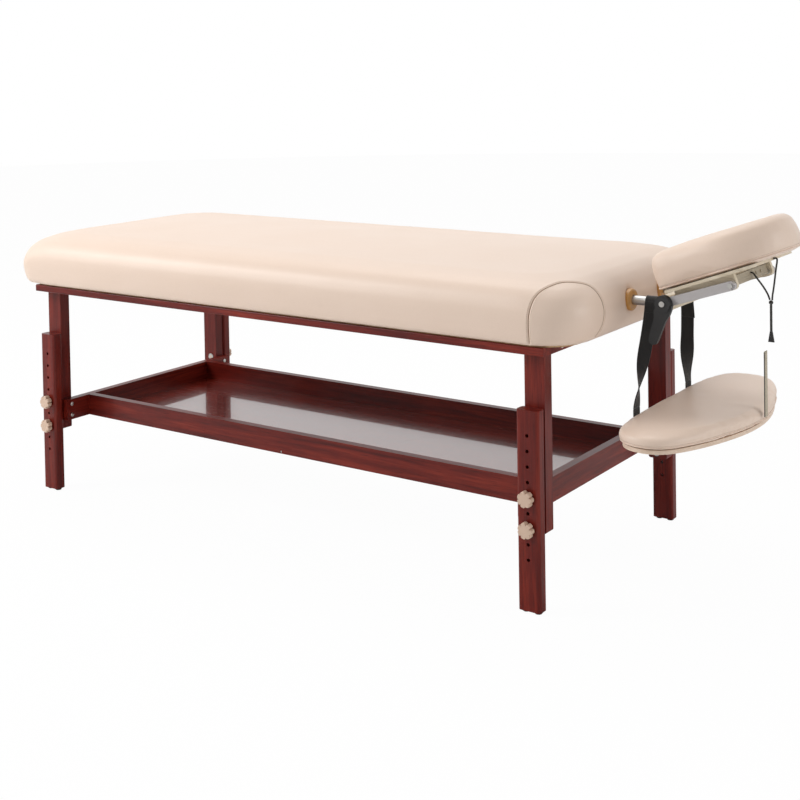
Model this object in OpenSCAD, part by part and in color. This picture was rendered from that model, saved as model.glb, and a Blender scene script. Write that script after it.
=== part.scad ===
// Treatment table: a padded top on a height-adjustable hardwood frame with a storage tray,
// a hinged face cradle plugged into the head end and an arm shelf hung from the cradle.
// Millimetres. +X is the head end, -Y the front, Z = 0 the floor.

/* [Padded top] */
// Length of the padded top at its fullest
bed_l = 1854; // [1760:1:1960]
// Width of the padded top at its fullest
bed_w = 786; // [760:1:860]
// Height of the padded top, from its lower edge to its crown
bed_h = 159; // [145:1:190]
// Plan radius of the padded top's corners
bed_corner_r = 120; // [110:1:160]
// How far the ends draw in at the lower edge
bed_tuck_end = 24; // [8:1:30]
// How far the sides draw in at the lower edge
bed_tuck_side = 13; // [6:1:16]
// How far the rounded shoulder reaches in from the fullest line
bed_shoulder = 100; // [60:1:105]
// Share of the shoulder's reach at the crown's rings
crown_share = 0.9; // [0.85:0.01:0.95]
// Width of the upholstered rim round the deck board
bed_rim = 10; // [6:1:14]
// Thickness of the deck board
deck_t = 18; // [12:1:22]

/* [Base frame] */
// Thickness of the flat rails under the deck
base_rail_t = 19; // [16:1:24]
// Width of the flat rails under the deck
base_rail_w = 76; // [72:1:100]
// How far the base frame stands out past the head and foot legs
base_reach = 16; // [4:1:24]
// Number of braces between the front and back base rails
brace_count = 2; // [1:1:4]
// Width of a brace
brace_w = 64; // [40:1:90]
// Diameter of the pale stud on the head base rail
stud_d = 8; // [5:1:10]
// How far the stud stands out
stud_l = 6; // [3:1:9]
// Distance of the stud from the middle of the rail
stud_off_y = 309; // [120:1:350]

/* [Legs] */
// Distance over the outer faces of the foot and head legs
leg_span_x = 1664; // [1500:1:1700]
// Distance over the outer faces of the front and back legs
leg_span_y = 752; // [700:1:756]
// Width of a sliding lower leg
leg_w = 57; // [50:1:66]
// Thickness of a sliding lower leg
leg_t = 32; // [26:1:38]
// Length of a sliding lower leg
leg_l = 453; // [440:1:500]
// Radius of the lower leg's upright edges
leg_edge_r = 8; // [2:1:12]
// Number of adjusting holes in a lower leg
hole_count = 9; // [8:1:9]
// Spacing of the adjusting holes
hole_pitch = 35; // [34:1:38]
// Distance from the top of the leg to its first hole
hole_first = 57; // [30:1:62]
// Diameter of the adjusting holes
hole_d = 8.5; // [8.3:0.1:9]
// Hole, counted from the top, that takes the upper clamp bolt
upper_bolt_hole = 5; // [5:1:6]
// Width of an upper post
post_w = 51; // [46:1:56]
// Thickness of an upper post
post_t = 33; // [28:1:36]
// Length of an upper post
post_l = 426; // [415:1:460]
// How far the post runs on below the lower clamp bolt
post_tail = 16; // [12:1:30]
// Shoulder of the tenon at the top of a post
tenon_in = 6; // [3:1:9]
// Height of a floor glide
glide_h = 6; // [4:1:9]
// Diameter of a floor glide
glide_d = 17; // [12:1:20]
// Distance between the two glides of a leg
glide_gap = 31; // [24:1:34]

/* [Clamp knobs] */
// Diameter over the lobes of a clamp knob
knob_d = 38; // [32:1:44]
// Share of the diameter in the radius of a lobe
knob_lobe_share = 0.15; // [0.12:0.01:0.18]
// Thickness of a clamp knob's lobed head
knob_t = 14; // [10:1:18]
// Number of lobes on a clamp knob
knob_lobes = 7; // [5:1:9]
// Diameter of the knob's hub
hub_d = 22; // [16:1:26]
// Thickness of the knob's hub
hub_t = 3; // [2:1:5]
// Diameter of the knob's threaded stud
bolt_d = 8; // [6:0.5:8]
// Diameter of the nut's flange on the inner face of a post
nut_flange_d = 20; // [16:1:24]
// Diameter of the nut's barrel
nut_barrel_d = 11; // [10:0.5:13]
// Length of the nut's barrel
nut_barrel_l = 12; // [8:1:16]

/* [Storage tray] */
// Height of the tray rails
tray_rail_h = 60; // [50:1:80]
// Thickness of the tray rails
tray_rail_t = 22; // [16:1:28]
// Distance from the foot of a post up to the tray rails
tray_lift = 28; // [10:1:34]
// Distance from the outer faces of the legs in to the long rails
tray_inset = 114; // [80:1:180]
// Thickness of the tray panel
panel_t = 6; // [4:1:8]
// Depth of the panel's grooves in the rails
groove_d = 6; // [4:1:8]
// Height of rail left below the panel's groove
panel_lip = 2; // [2:1:6]
// Distance between the two bolts at each end of a cross rail
rail_bolt_gap = 32; // [26:1:40]
// Diameter of the rail bolts
rail_bolt_d = 6; // [5:1:7]
// Depth of the rail bolts in a post
rail_bolt_in = 32; // [20:1:44]
// Diameter of a rail bolt's head
rail_head_d = 11; // [9:1:14]
// Height of a rail bolt's head
rail_head_h = 3; // [2:0.5:4]
// Distance of the panel screw from the middle of a long rail
panel_screw_x = 13; // [0:1:300]
// Diameter of the panel screw's head
panel_screw_d = 6; // [5:0.5:8]

/* [Cradle sockets] */
// Distance between the two cradle posts
socket_gap = 176; // [150:1:196]
// Height of the cradle posts above the lower edge of the padded top
socket_h = 71; // [60:1:80]
// Length of the wooden socket block
block_l = 205; // [190:1:240]
// Width of the socket block
block_w = 230; // [226:1:250]
// Height of the socket block
block_h = 90; // [84:1:96]
// Distance from the head end of the padded top in to the socket block
block_back = 26; // [20:1:34]
// Distance from the head end of the padded top in to the grommets' face
grommet_back = 9; // [6:1:14]
// Outer diameter of a socket's grommet
grommet_d = 52; // [44:1:56]
// Thickness of a grommet's flange
grommet_t = 13; // [8:1:16]
// Inner diameter of a grommet
grommet_bore = 24; // [23:0.5:26]

/* [Face cradle] */
// Diameter of the cradle posts
cradle_post_d = 22; // [18:1:22]
// Wall of the cradle posts
cradle_post_wall = 2.5; // [1.5:0.5:4]
// Length of cradle post inside the padded top
cradle_post_in = 180; // [160:1:185]
// Length of cradle post from the padded top to the crossbar
cradle_post_out = 73; // [64:1:90]
// Thickness of the cradle's crossbar
crossbar_t = 18; // [14:1:22]
// Height of the cradle's crossbar
crossbar_h = 36; // [32:1:38]
// How far the crossbar's middle lies below the sockets' height
crossbar_sunk = 2; // [0:1:4]
// Width of the cradle's crossbar
crossbar_w = 234; // [226:1:240]
// Distance from the crossbar to the lift pivot
lift_off_x = 10; // [8:1:14]
// Height of the lift pivot above the cradle posts
lift_off_z = 8; // [4:1:10]
// Width of a knuckle
knuckle_w = 20; // [12:1:24]
// Outer radius of a knuckle round the lift pivot
knuckle_r = 12; // [9:1:13]
// Diameter of the lift rod
rod_d = 8; // [6:1:10]
// Length of an arm between its two pivots
arm_l = 163.5; // [158:0.5:176]
// Angle at which the arms rise
arm_rise = 18.5; // [16:0.5:20]
// Height of an arm's section
arm_h = 21; // [18:1:24]
// Thickness of an arm
arm_t = 12; // [8:1:14]
// Gap between the crossbar and an arm
arm_gap = 2; // [1:0.5:3]

/* [Cam lever] */
// Radius of the cam lever's head
cam_r = 19; // [14:1:22]
// Thickness of the cam lever
cam_t = 16; // [10:1:20]
// Share of that thickness in the lever's handle
handle_share = 0.6; // [0.5:0.1:0.8]
// Length of the cam lever from its pivot to its tip
cam_l = 95; // [80:1:120]

/* [Head platform] */
// Angle of the platform with the floor
platform_tilt = 20; // [18:0.5:22]
// Height of the platform's upper face over the tilt pivot
platform_h = 31; // [29:1:36]
// Thickness of the platform panel
platform_t = 7; // [5:1:9]
// Length of the platform from the tilt pivot towards the padded top
platform_in = 160; // [150:1:164]
// Length of the platform from the tilt pivot outwards
platform_out = 64; // [50:1:80]
// Width of the platform panel
platform_w = 276; // [264:1:290]
// Width of the face slot in the platform panel
slot_w = 90; // [60:1:100]
// Distance from the tilt pivot in to the end of the face slot
slot_back = 20; // [18:1:40]
// Length of a side bracket from the tilt pivot inwards
bracket_in = 138; // [100:1:138]
// Thickness of a side bracket
bracket_t = 12; // [8:1:12]
// Radius of a side bracket round the tilt pivot
bracket_r = 11; // [9:1:14]
// Depth of a side bracket at its inner end
bracket_end_h = 14; // [8:1:16]
// Height of the tilt crossbar
tilt_bar_h = 22; // [16:1:24]
// Gap between the tilt crossbar and the panel over it
tilt_bar_gap = 6; // [4:1:8]
// Thickness of the tilt crossbar
tilt_bar_t = 16; // [10:1:18]
// Diameter of the tilt bolts
tilt_bolt_d = 6; // [5:1:8]

/* [Head cushion] */
// Length of the head cushion
head_l = 310; // [290:1:330]
// Width over the head cushion
head_w = 300; // [280:1:320]
// Width of the head cushion's padding from its opening to its edge
head_ring_w = 95; // [80:1:104]
// Height of the head cushion
head_h = 91; // [70:1:100]
// Distance from the tilt pivot to the head cushion's inner ends
head_in = 172; // [166:1:174]

/* [Hanging straps] */
// Width of the webbing
web_w = 33; // [26:1:38]
// Thickness of the webbing
web_t = 2.5; // [2:0.5:3]
// Share of the thickness by which a strap's tail is set off its fall
tail_share = 0.98; // [0.95:0.01:0.99]
// Distance between the straps at the arm shelf
strap_gap = 298; // [260:1:340]
// Distance from the padded top to the nearer edge of a strap
strap_off = 38; // [28:1:39]
// Length of a strap from its post down to the arm shelf's hinge line
strap_l = 237; // [200:1:300]
// Length of a strap's stitched tail below its post
strap_tail = 72; // [30:1:90]

/* [Arm shelf] */
// Length of the arm shelf
shelf_l = 684; // [560:1:760]
// Depth of the arm shelf
shelf_w = 248; // [200:1:270]
// Thickness of the arm shelf's pad
pad_h = 32; // [24:1:36]
// Thickness of the arm shelf's board
shelf_t = 9; // [6:1:12]
// How far the pad reaches past its board
pad_over = 12; // [6:1:16]
// Height of the hinge line above the arm shelf's pad
shelf_drop = 3; // [2:1:6]
// Length of webbing under the board
stub_under = 46; // [30:1:80]
// Width of the outer strap
outer_strap_w = 16; // [12:1:24]
// Length of the outer strap
outer_strap_l = 135; // [120:1:148]

/* [Yoke] */
// Diameter of a yoke strand
strand_d = 4.4; // [4.2:0.1:5]
// Diameter of the doubled yoke cord
cord_d = 6; // [4.5:0.5:7]
// Diameter of the bead where the strands join
bead_d = 10; // [9:0.5:12]
// Length of the yoke's tab
tab_l = 24; // [16:1:28]
// Width of the yoke's tab at its foot
tab_w = 14; // [10:1:18]
// Thickness of the yoke's tab
tab_t = 3.5; // [3:0.5:5]

/* [Hidden] */
$fn = 48;

// Overrun of every cut
over = 1;
// Clearance of soft pieces and of pieces that slide past each other
soft_gap = 0.3;
slide_gap = 0.4;
// Radial clearances of a running fit and of a driven fit
run_gap = 0.08;
seat_gap = 0.05;

// Segments in each rounded corner of the padded top
corner_seg = 8;

// Heights of the frame, from the floor up
leg_top_z = glide_h + leg_l;
lower_bolt_hole = upper_bolt_hole + 2;
upper_bolt_z = leg_top_z - hole_first - (upper_bolt_hole - 1) * hole_pitch;
lower_bolt_z = leg_top_z - hole_first - (lower_bolt_hole - 1) * hole_pitch;
post_foot_z = lower_bolt_z - post_tail;
deck_z = post_foot_z + post_l;
base_rail_z = deck_z - base_rail_t;
tray_z = post_foot_z + tray_lift;
tray_mid_z = tray_z + tray_rail_h / 2;

// Plan places of the frame
leg_out_x = leg_span_x / 2;
leg_out_y = leg_span_y / 2;
leg_x = leg_out_x - leg_w / 2;
leg_in_y = leg_out_y - leg_t;
post_out_y = leg_in_y - slide_gap;
post_in_y = post_out_y - post_t;
post_y = (post_out_y + post_in_y) / 2;
post_in_x = leg_out_x - post_w;
post_x = leg_out_x - post_w / 2;
base_out_x = leg_out_x + base_reach;
base_in_y = leg_out_y - base_rail_w;
cross_in_x = post_in_x - tray_rail_t;
long_out_y = leg_out_y - tray_inset;
long_in_y = long_out_y - tray_rail_t;
long_y = (long_out_y + long_in_y) / 2;
post_edge_r = 5;
glide_nail_d = 3;
glide_nail_l = 12;
glide_lip = 1.5;
nut_flange_t = 1.5;
knob_scallop = 3;
knob_dome = 4;
knob_gap = 0.4;
rail_edge_r = 3;
screw_shank_d = 4;
screw_l = 48;

// Side of the padded top: share of its height, then shares of the tuck and of the shoulder
bed_side_shares = [[0, 1, 0], [0.05, 0.6, 0], [0.19, 0.22, 0], [0.38, 0, 0], [0.53, 0, 0.03],
    [0.69, 0, 0.13], [0.8, 0, 0.29], [0.88, 0, 0.56], [0.935, 0, 1]];
// Crown of the padded top: share of its height, then share of the way to the middle
bed_crown_shares = [[0.962, 0.35], [0.985, 0.6], [0.996, 0.8], [1, 0.93]];

// Sockets and cradle
bed_out_x = bed_l / 2;
socket_y = socket_gap / 2;
socket_z = deck_z + socket_h;
block_out_x = bed_out_x - block_back;
block_z = deck_z + deck_t;
grommet_x = bed_out_x - grommet_back;
grommet_lip_r = 5;
sleeve_d = 32;
socket_end = 4;
crossbar_x = bed_out_x + cradle_post_out;
crossbar_out_x = crossbar_x + crossbar_t;
crossbar_z = socket_z - crossbar_h / 2 - crossbar_sunk;
lift_x = crossbar_out_x + lift_off_x;
lift_z = socket_z + lift_off_z;
knuckle_y = crossbar_w / 2 - knuckle_w;
arm_in_y = crossbar_w / 2 + arm_gap;
arm_out_y = arm_in_y + arm_t;
tilt_x = lift_x + arm_l * cos(arm_rise);
tilt_z = lift_z + arm_l * sin(arm_rise);
rod_head_t = 3;
rod_head_d = 13;
washer_t = 0.6;
cam_in_y = arm_out_y + washer_t;
cam_out_y = cam_in_y + cam_t;
bracket_out_y = arm_in_y - soft_gap;
bracket_in_y = bracket_out_y - bracket_t;
platform_under = platform_h - platform_t;
platform_corner_r = 18;
tilt_bar_x = 2;
tilt_bar_z = platform_under - tilt_bar_h - tilt_bar_gap;
bar_bolt_d = 7;
bar_bolt_h = 2;
bar_bolt_y = [30, 60];
head_bolt_d = 13;
head_bolt_h = 4;

// Straps, arm shelf and yoke
strap_x = bed_out_x + strap_off + web_w / 2;
web_r = cradle_post_d / 2 + soft_gap;
web_mid = web_r + web_t / 2;
strap_foot_y = strap_gap / 2;
shelf_hinge_z = socket_z - strap_l;
shelf_in_x = bed_out_x + strap_off;
shelf_hinge_x = shelf_in_x - soft_gap - web_t / 2;
pad_top_z = shelf_hinge_z - shelf_drop;
pad_z = pad_top_z - pad_h;
board_z = pad_z - shelf_t;
outer_strap_x = shelf_in_x + shelf_w + soft_gap;

// Half of the arm shelf's outline: shares of its depth and of half its length
shelf_outline_shares = [[0, 0], [0, 0.4], [0.02, 0.66], [0.09, 0.88], [0.24, 0.985],
    [0.45, 1], [0.62, 0.93], [0.76, 0.76], [0.88, 0.53], [0.97, 0.26], [1, 0]];
// Side of the shelf pad: share of its height, share of its drawn-in edge
pad_side_shares = [[0, 0.5], [0.12, 0.16], [0.4, 0], [0.66, 0.08], [0.85, 0.34], [0.95, 0.8],
    [0.98, 1.5], [1, 3]];
pad_edge = 18;

// Section of the head cushion: shares of half its padding's width and of its height
head_section_shares = [[0.72, 0], [0.92, 0.09], [1, 0.3], [0.99, 0.58], [0.86, 0.84],
    [0.6, 0.96], [0.25, 1], [-0.25, 1], [-0.6, 0.96], [-0.86, 0.84], [-0.99, 0.58],
    [-1, 0.3], [-0.92, 0.09], [-0.72, 0]];
// Rounded ends of the head cushion: share of their length, share of the full section
head_end_shares = [[0, 0.55], [0.12, 0.78], [0.4, 0.94], [1, 1]];
head_end_l = 40;
head_arc_seg = 16;

// Routes of the yoke's cords in the plane Y = 0, along X and up Z
join_point = [1228, 680];
outer_strand = [[1234.2, 780.8], [1239, 782.2], [1242.5, 780], [1242.5, 773], [1240.5, 760],
    [1238.5, 745], [1236, 725], [1233.5, 708], [1231.5, 696], [1230.8, 685.6]];
inner_strand = [[1181.2, 744.9], [1185.5, 744.5], [1190, 740], [1197, 731], [1206, 720],
    [1214, 709], [1220, 699], [1223.5, 691], [1225.2, 685.6]];

// Extent along X, which sets the origin
function platform_point(x, y, z) = [tilt_x + x * cos(platform_tilt) - z * sin(platform_tilt), y,
    tilt_z + x * sin(platform_tilt) + z * cos(platform_tilt)];
head_mid_r = head_w / 2 - head_ring_w / 2;
head_arc_x = head_l - head_in - head_w / 2;
head_rings = concat(
    [for (s = head_end_shares)
        head_ring([-head_in + s[0] * head_end_l, -head_mid_r], 0, s[1])],
    [for (i = [0:head_arc_seg])
        let (a = -90 + 180 * i / head_arc_seg)
        head_ring([head_arc_x + head_mid_r * cos(a), head_mid_r * sin(a)], a + 90, 1)],
    [for (i = [len(head_end_shares) - 1:-1:0])
        let (s = head_end_shares[i])
        head_ring([-head_in + s[0] * head_end_l, head_mid_r], 180, s[1])]);
extent_out = max([for (ring = head_rings, p = ring) p[0]]);
mid_x = (extent_out - bed_out_x) / 2;

// One section of the head cushion at a place on the platform, facing along a heading
function head_ring(place, heading, size) =
    [for (s = head_section_shares)
        let (side = s[0] * head_ring_w / 2 * size)
        let (rise = head_h * (s[1] < 0.3 ? s[1] : 0.3 + (s[1] - 0.3) * size))
        platform_point(place[0] + side * sin(heading), place[1] - side * cos(heading),
            platform_h + rise)];

// One ring of a rounded rectangle, counterclockwise seen from above
function corner_ring(half_x, half_y, r, z) =
    [for (k = [0:3], j = [0:corner_seg])
        let (a = 90 * k + 90 * j / corner_seg)
        let (sx = k == 0 || k == 3 ? 1 : -1)
        let (sy = k < 2 ? 1 : -1)
        [sx * (half_x - r) + r * cos(a), sy * (half_y - r) + r * sin(a), z]];

// A point on the smooth curve from b to c, between its neighbours a and d
function curve_point(a, b, c, d, t) = (2 * b + (c - a) * t + (2 * a - 5 * b + 4 * c - d) * t * t
    + (3 * b - a - 3 * c + d) * t * t * t) / 2;

// A closed smooth curve through a list of points
function closed_curve(pts, n) =
    let (m = len(pts))
    [for (i = [0:m - 1], k = [0:n - 1])
        curve_point(pts[(i + m - 1) % m], pts[i], pts[(i + 1) % m], pts[(i + 2) % m], k / n)];

// A counterclockwise outline drawn in by a distance
function drawn_in(pts, d) =
    let (m = len(pts))
    [for (i = [0:m - 1])
        let (v = pts[(i + 1) % m] - pts[(i + m - 1) % m])
        pts[i] - d * [v[1], -v[0]] / norm(v)];

// One round section of a cord that lies in the plane Y = 0
function cord_ring(pts, i, d, sides) =
    let (v = pts[min(i + 1, len(pts) - 1)] - pts[max(i - 1, 0)])
    let (n = [-v[1], v[0]] / norm(v))
    [for (k = [0:sides - 1])
        let (a = 360 * k / sides)
        [pts[i][0] + d / 2 * sin(a) * n[0], d / 2 * cos(a), pts[i][1] + d / 2 * sin(a) * n[1]]];

// One flat section of webbing, its width turned by an angle from X towards Y
function web_ring(place, turn) =
    let (u = [cos(turn), sin(turn), 0] * web_w / 2)
    let (v = [-sin(turn), cos(turn), 0] * web_t / 2)
    [place - u - v, place + u - v, place + u + v, place - u + v];

// The solid through a list of equal rings, the first at its foot
module loft(rings) {
    n = len(rings[0]);
    m = len(rings);
    polyhedron(points = [for (ring = rings, p = ring) p], faces = concat(
        [for (i = [0:m - 2], j = [0:n - 1]) [i * n + j, (i + 1) * n + j, (i + 1) * n + (j + 1) % n]],
        [for (i = [0:m - 2], j = [0:n - 1]) [i * n + j, (i + 1) * n + (j + 1) % n, i * n + (j + 1) % n]],
        [[for (j = [0:n - 1]) j]],
        [[for (j = [n - 1:-1:0]) (m - 1) * n + j]]));
}

// Children in the frame of the whole table, with its middle over the origin
module placed() {
    translate([-mid_x, 0, 0]) children();
}

// Children drawn for the back head corner, moved to another corner
module at_corner(end, side) {
    placed() mirror([end < 0 ? 1 : 0, 0, 0]) mirror([0, side < 0 ? 1 : 0, 0]) children();
}

// Children in the platform's own frame, with its origin on the tilt pivot
module on_platform() {
    placed() translate([tilt_x, 0, tilt_z]) rotate([0, -platform_tilt, 0]) children();
}

// A cylinder along X from one place to another
module rod_x(x0, x1, d) {
    translate([x0, 0, 0]) rotate([0, 90, 0]) cylinder(d = d, h = x1 - x0);
}

// A cylinder along Y from one place to another
module rod_y(y0, y1, d) {
    translate([0, y0, 0]) rotate([-90, 0, 0]) cylinder(d = d, h = y1 - y0);
}

// A box between two corners
module box(low, high) {
    translate(low) cube(high - low);
}

// A bar along X, given by its corners, with its four long edges rounded
module bar_x(low, high, r) {
    size = high - low;
    translate([low[0], low[1], low[2]]) rotate([90, 0, 90]) linear_extrude(size[0])
        round_square([size[1], size[2]], r);
}

// A bar along Y, given by its corners, with its four long edges rounded
module bar_y(low, high, r) {
    size = high - low;
    translate([low[0], high[1], low[2]]) rotate([90, 0, 0]) linear_extrude(size[1])
        round_square([size[0], size[2]], r);
}

// A rectangle with rounded corners, its lower left corner at the origin
module round_square(size, r) {
    translate([r, 0]) square([size[0] - 2 * r, size[1]]);
    translate([0, r]) square([size[0], size[1] - 2 * r]);
    for (x = [r, size[0] - r], y = [r, size[1] - r]) translate([x, y]) circle(r = r);
}

// One ring of the padded top at a share of its height
function bed_ring(s) = corner_ring(
    bed_l / 2 - s[1] * bed_tuck_end - s[2] * bed_shoulder,
    bed_w / 2 - s[1] * bed_tuck_side - s[2] * bed_shoulder,
    bed_corner_r - (bed_corner_r - bed_shoulder) * s[2] - s[1] * bed_tuck_end,
    deck_z + s[0] * bed_h);

// One ring of the crown, part of the way from the shoulder to the middle
function crown_ring(s) =
    let (half_y = (bed_w / 2 - bed_shoulder) * (1 - s[1]))
    let (half_x = bed_l / 2 - bed_shoulder - (bed_w / 2 - bed_shoulder) * s[1])
    corner_ring(half_x, half_y, min(half_y, bed_shoulder) * crown_share, deck_z + s[0] * bed_h);

// The rim's inner outline, which holds the deck board
function rim_ring(gap, z) = corner_ring(
    bed_l / 2 - bed_tuck_end - bed_rim - gap,
    bed_w / 2 - bed_tuck_side - bed_rim - gap,
    bed_corner_r - bed_tuck_end - bed_rim - gap, z);

module bed_cushion() {
    color("bisque") placed() difference() {
        loft(concat([rim_ring(0, block_z), rim_ring(0, deck_z)],
            [for (s = bed_side_shares) bed_ring(s)], [for (s = bed_crown_shares) crown_ring(s)]));
        box([block_out_x - block_l - soft_gap, -block_w / 2 - soft_gap, block_z - over],
            [block_out_x + soft_gap, block_w / 2 + soft_gap, block_z + block_h + soft_gap]);
        for (y = [-socket_y, socket_y]) translate([0, y, socket_z]) {
            rod_x(block_out_x - over, bed_out_x + over, sleeve_d + 2 * soft_gap);
            rod_x(grommet_x - soft_gap, bed_out_x + over, grommet_d + 2 * soft_gap);
        }
    }
}

module deck_board() {
    color("tan") placed() translate([0, 0, deck_z]) linear_extrude(deck_t)
        polygon([for (p = rim_ring(soft_gap, 0)) [p[0], p[1]]]);
}

// A long flat rail under the deck, mortised for the tenons of two posts
module base_long_rail(side) {
    placed() mirror([0, side < 0 ? 1 : 0, 0]) difference() {
        bar_x([-base_out_x, base_in_y, base_rail_z], [base_out_x, leg_out_y, deck_z], rail_edge_r);
        for (end = [-1, 1]) mirror([end < 0 ? 1 : 0, 0, 0]) tenon(over);
    }
}

// The tenon at the top of a post, run on past both faces of the rail for the mortise
module tenon(extra) {
    box([post_in_x + tenon_in, post_in_y + tenon_in, base_rail_z - extra],
        [leg_out_x - tenon_in, post_out_y - tenon_in, deck_z + extra]);
}

module base_rail_front() {
    color("sienna") base_long_rail(-1);
}

module base_rail_back() {
    color("sienna") base_long_rail(1);
}

// The foot and head rails and the braces between the long rails
module base_cross_rails() {
    color("sienna") placed() {
        for (end = [-1, 1]) mirror([end < 0 ? 1 : 0, 0, 0]) difference() {
            box([base_out_x - base_rail_w, -base_in_y, base_rail_z], [base_out_x, base_in_y, deck_z]);
            if (end > 0) translate([0, -stud_y, stud_z]) rod_x(base_out_x - stud_l, base_out_x + over,
                stud_shank_d);
        }
        for (i = [1:brace_count])
            translate([leg_span_x * (i / (brace_count + 1) - 1 / 2) - brace_w / 2, -base_in_y, base_rail_z])
                cube([brace_w, 2 * base_in_y, base_rail_t]);
    }
}

stud_shank_d = stud_d / 2;
stud_y = min(stud_off_y, base_in_y - stud_d);
stud_z = base_rail_z + base_rail_t / 2;

module rail_stud() {
    color("wheat") placed() translate([0, -stud_y, stud_z]) {
        rod_x(base_out_x - stud_l + seat_gap, base_out_x + stud_l / 2, stud_shank_d - 2 * seat_gap);
        translate([base_out_x, 0, 0]) rotate([0, 90, 0]) rotate_extrude() {
            square([stud_d / 2, stud_l / 2]);
            translate([0, stud_l / 2]) intersection() {
                circle(r = stud_l / 2);
                square(stud_l);
            }
        }
    }
}

// One upper post, with its tenon, its stud bores and its rail bolt bores
module post() {
    color("sienna") difference() {
        union() {
            translate([post_in_x, post_out_y, post_foot_z]) rotate([90, 0, 0]) linear_extrude(post_t)
                union() {
                    round_square([post_w, post_l / 2], post_edge_r);
                    translate([0, post_edge_r])
                        square([post_w, base_rail_z - post_foot_z - post_edge_r]);
                }
            tenon(0);
        }
        for (z = [lower_bolt_z, upper_bolt_z]) translate([leg_x, 0, z]) {
            rod_y(post_in_y - over, post_out_y + over, hole_d);
            rod_y(post_in_y - over, post_in_y + nut_barrel_l, nut_barrel_d);
        }
        for (z = rail_bolt_zs) translate([0, post_y, z])
            rod_x(post_in_x - over, post_in_x + rail_bolt_in, rail_bolt_d);
    }
}

rail_bolt_zs = [tray_mid_z - rail_bolt_gap / 2, tray_mid_z + rail_bolt_gap / 2];

// A lower leg with its row of adjusting holes
module lower_leg() {
    color("sienna") difference() {
        translate([leg_out_x - leg_w, leg_in_y, glide_h]) linear_extrude(leg_l)
            round_square([leg_w, leg_t], leg_edge_r);
        for (i = [0:hole_count - 1]) translate([leg_x, 0, leg_top_z - hole_first - i * hole_pitch])
            rod_y(leg_in_y - over, leg_out_y + over, hole_d);
        for (x = glide_xs) translate([x, leg_out_y - leg_t / 2, glide_h - over])
            cylinder(d = glide_nail_d + 2 * seat_gap, h = glide_nail_l + over);
    }
}

glide_xs = [leg_x - glide_gap / 2, leg_x + glide_gap / 2];

// The two floor glides nailed into the foot of a leg
module glides() {
    color("dimgray") for (x = glide_xs) translate([x, leg_out_y - leg_t / 2, 0]) rotate_extrude() {
        square([glide_d / 2 - glide_lip, glide_h]);
        translate([0, glide_lip]) square([glide_d / 2, glide_h - glide_lip]);
        translate([glide_d / 2 - glide_lip, glide_lip]) circle(r = glide_lip);
        square([glide_nail_d / 2, glide_h + glide_nail_l - seat_gap]);
    }
}

// A clamp knob with its moulded-in stud, at a height
module clamp_knob(z) {
    lobe_r = knob_d * knob_lobe_share;
    translate([leg_x, leg_out_y + knob_gap, z]) {
        color("antiquewhite") rotate([-90, 0, 0]) {
            cylinder(d = hub_d, h = hub_t);
            translate([0, 0, hub_t]) intersection() {
                linear_extrude(knob_t) {
                    circle(d = knob_d - 3 * lobe_r + knob_scallop);
                    for (i = [0:knob_lobes - 1]) rotate(360 * i / knob_lobes)
                        translate([knob_d / 2 - lobe_r, 0]) circle(r = lobe_r);
                }
                rotate_extrude() knob_profile();
            }
        }
        color("silver") rod_y(post_in_y - nut_flange_t - leg_out_y - knob_gap, 0, bolt_d);
    }
}

// Half of the knob's rounded outline, turned about its axis
module knob_profile() {
    square([knob_d / 2 - knob_dome / 2, knob_t]);
    translate([0, knob_dome / 2]) square([knob_d / 2, knob_t - knob_dome * 3 / 2]);
    translate([knob_d / 2 - knob_dome / 2, knob_dome / 2]) circle(r = knob_dome / 2);
    translate([knob_d / 2 - knob_dome, knob_t - knob_dome]) intersection() {
        circle(r = knob_dome);
        square(knob_d);
    }
}

// A nut driven into a post, with its ring flange on the inner face
module nuts() {
    for (z = [lower_bolt_z, upper_bolt_z]) translate([leg_x, 0, z]) difference() {
        union() {
            rod_y(post_in_y - nut_flange_t, post_in_y, nut_flange_d);
            rod_y(post_in_y - over / 2, post_in_y + nut_barrel_l, nut_barrel_d - 2 * seat_gap);
        }
        rod_y(post_in_y - nut_flange_t - over, post_in_y + nut_barrel_l + over, bolt_d + 2 * run_gap);
    }
}

module leg_nuts() {
    color("silver") for (end = [-1, 1], side = [-1, 1]) at_corner(end, side) nuts();
}

// A long tray rail with the panel's groove along its inner face
module tray_long_rail(side) {
    color("sienna") placed() mirror([0, side < 0 ? 1 : 0, 0]) difference() {
        box([-cross_in_x, long_in_y, tray_z], [cross_in_x, long_out_y, tray_z + tray_rail_h]);
        box([-cross_in_x - over, long_in_y - over, tray_z + panel_lip],
            [cross_in_x + over, long_in_y + groove_d, tray_z + panel_lip + panel_t]);
        for (end = [-1, 1], z = rail_bolt_zs) mirror([end < 0 ? 1 : 0, 0, 0]) translate([0, long_y, z])
            rod_x(cross_in_x - screw_l + tray_rail_t, cross_in_x + over, screw_shank_d);
        translate([-panel_screw_x, 0, panel_screw_z]) {
            rod_y(long_in_y + groove_d - over, long_out_y + over, screw_shank_d);
            rod_y(long_out_y - panel_screw_d / 2, long_out_y + over, panel_screw_d);
        }
    }
}

panel_screw_z = tray_z + panel_lip + panel_t / 2;

module tray_rail_front() {
    tray_long_rail(-1);
}

module tray_rail_back() {
    tray_long_rail(1);
}

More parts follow.
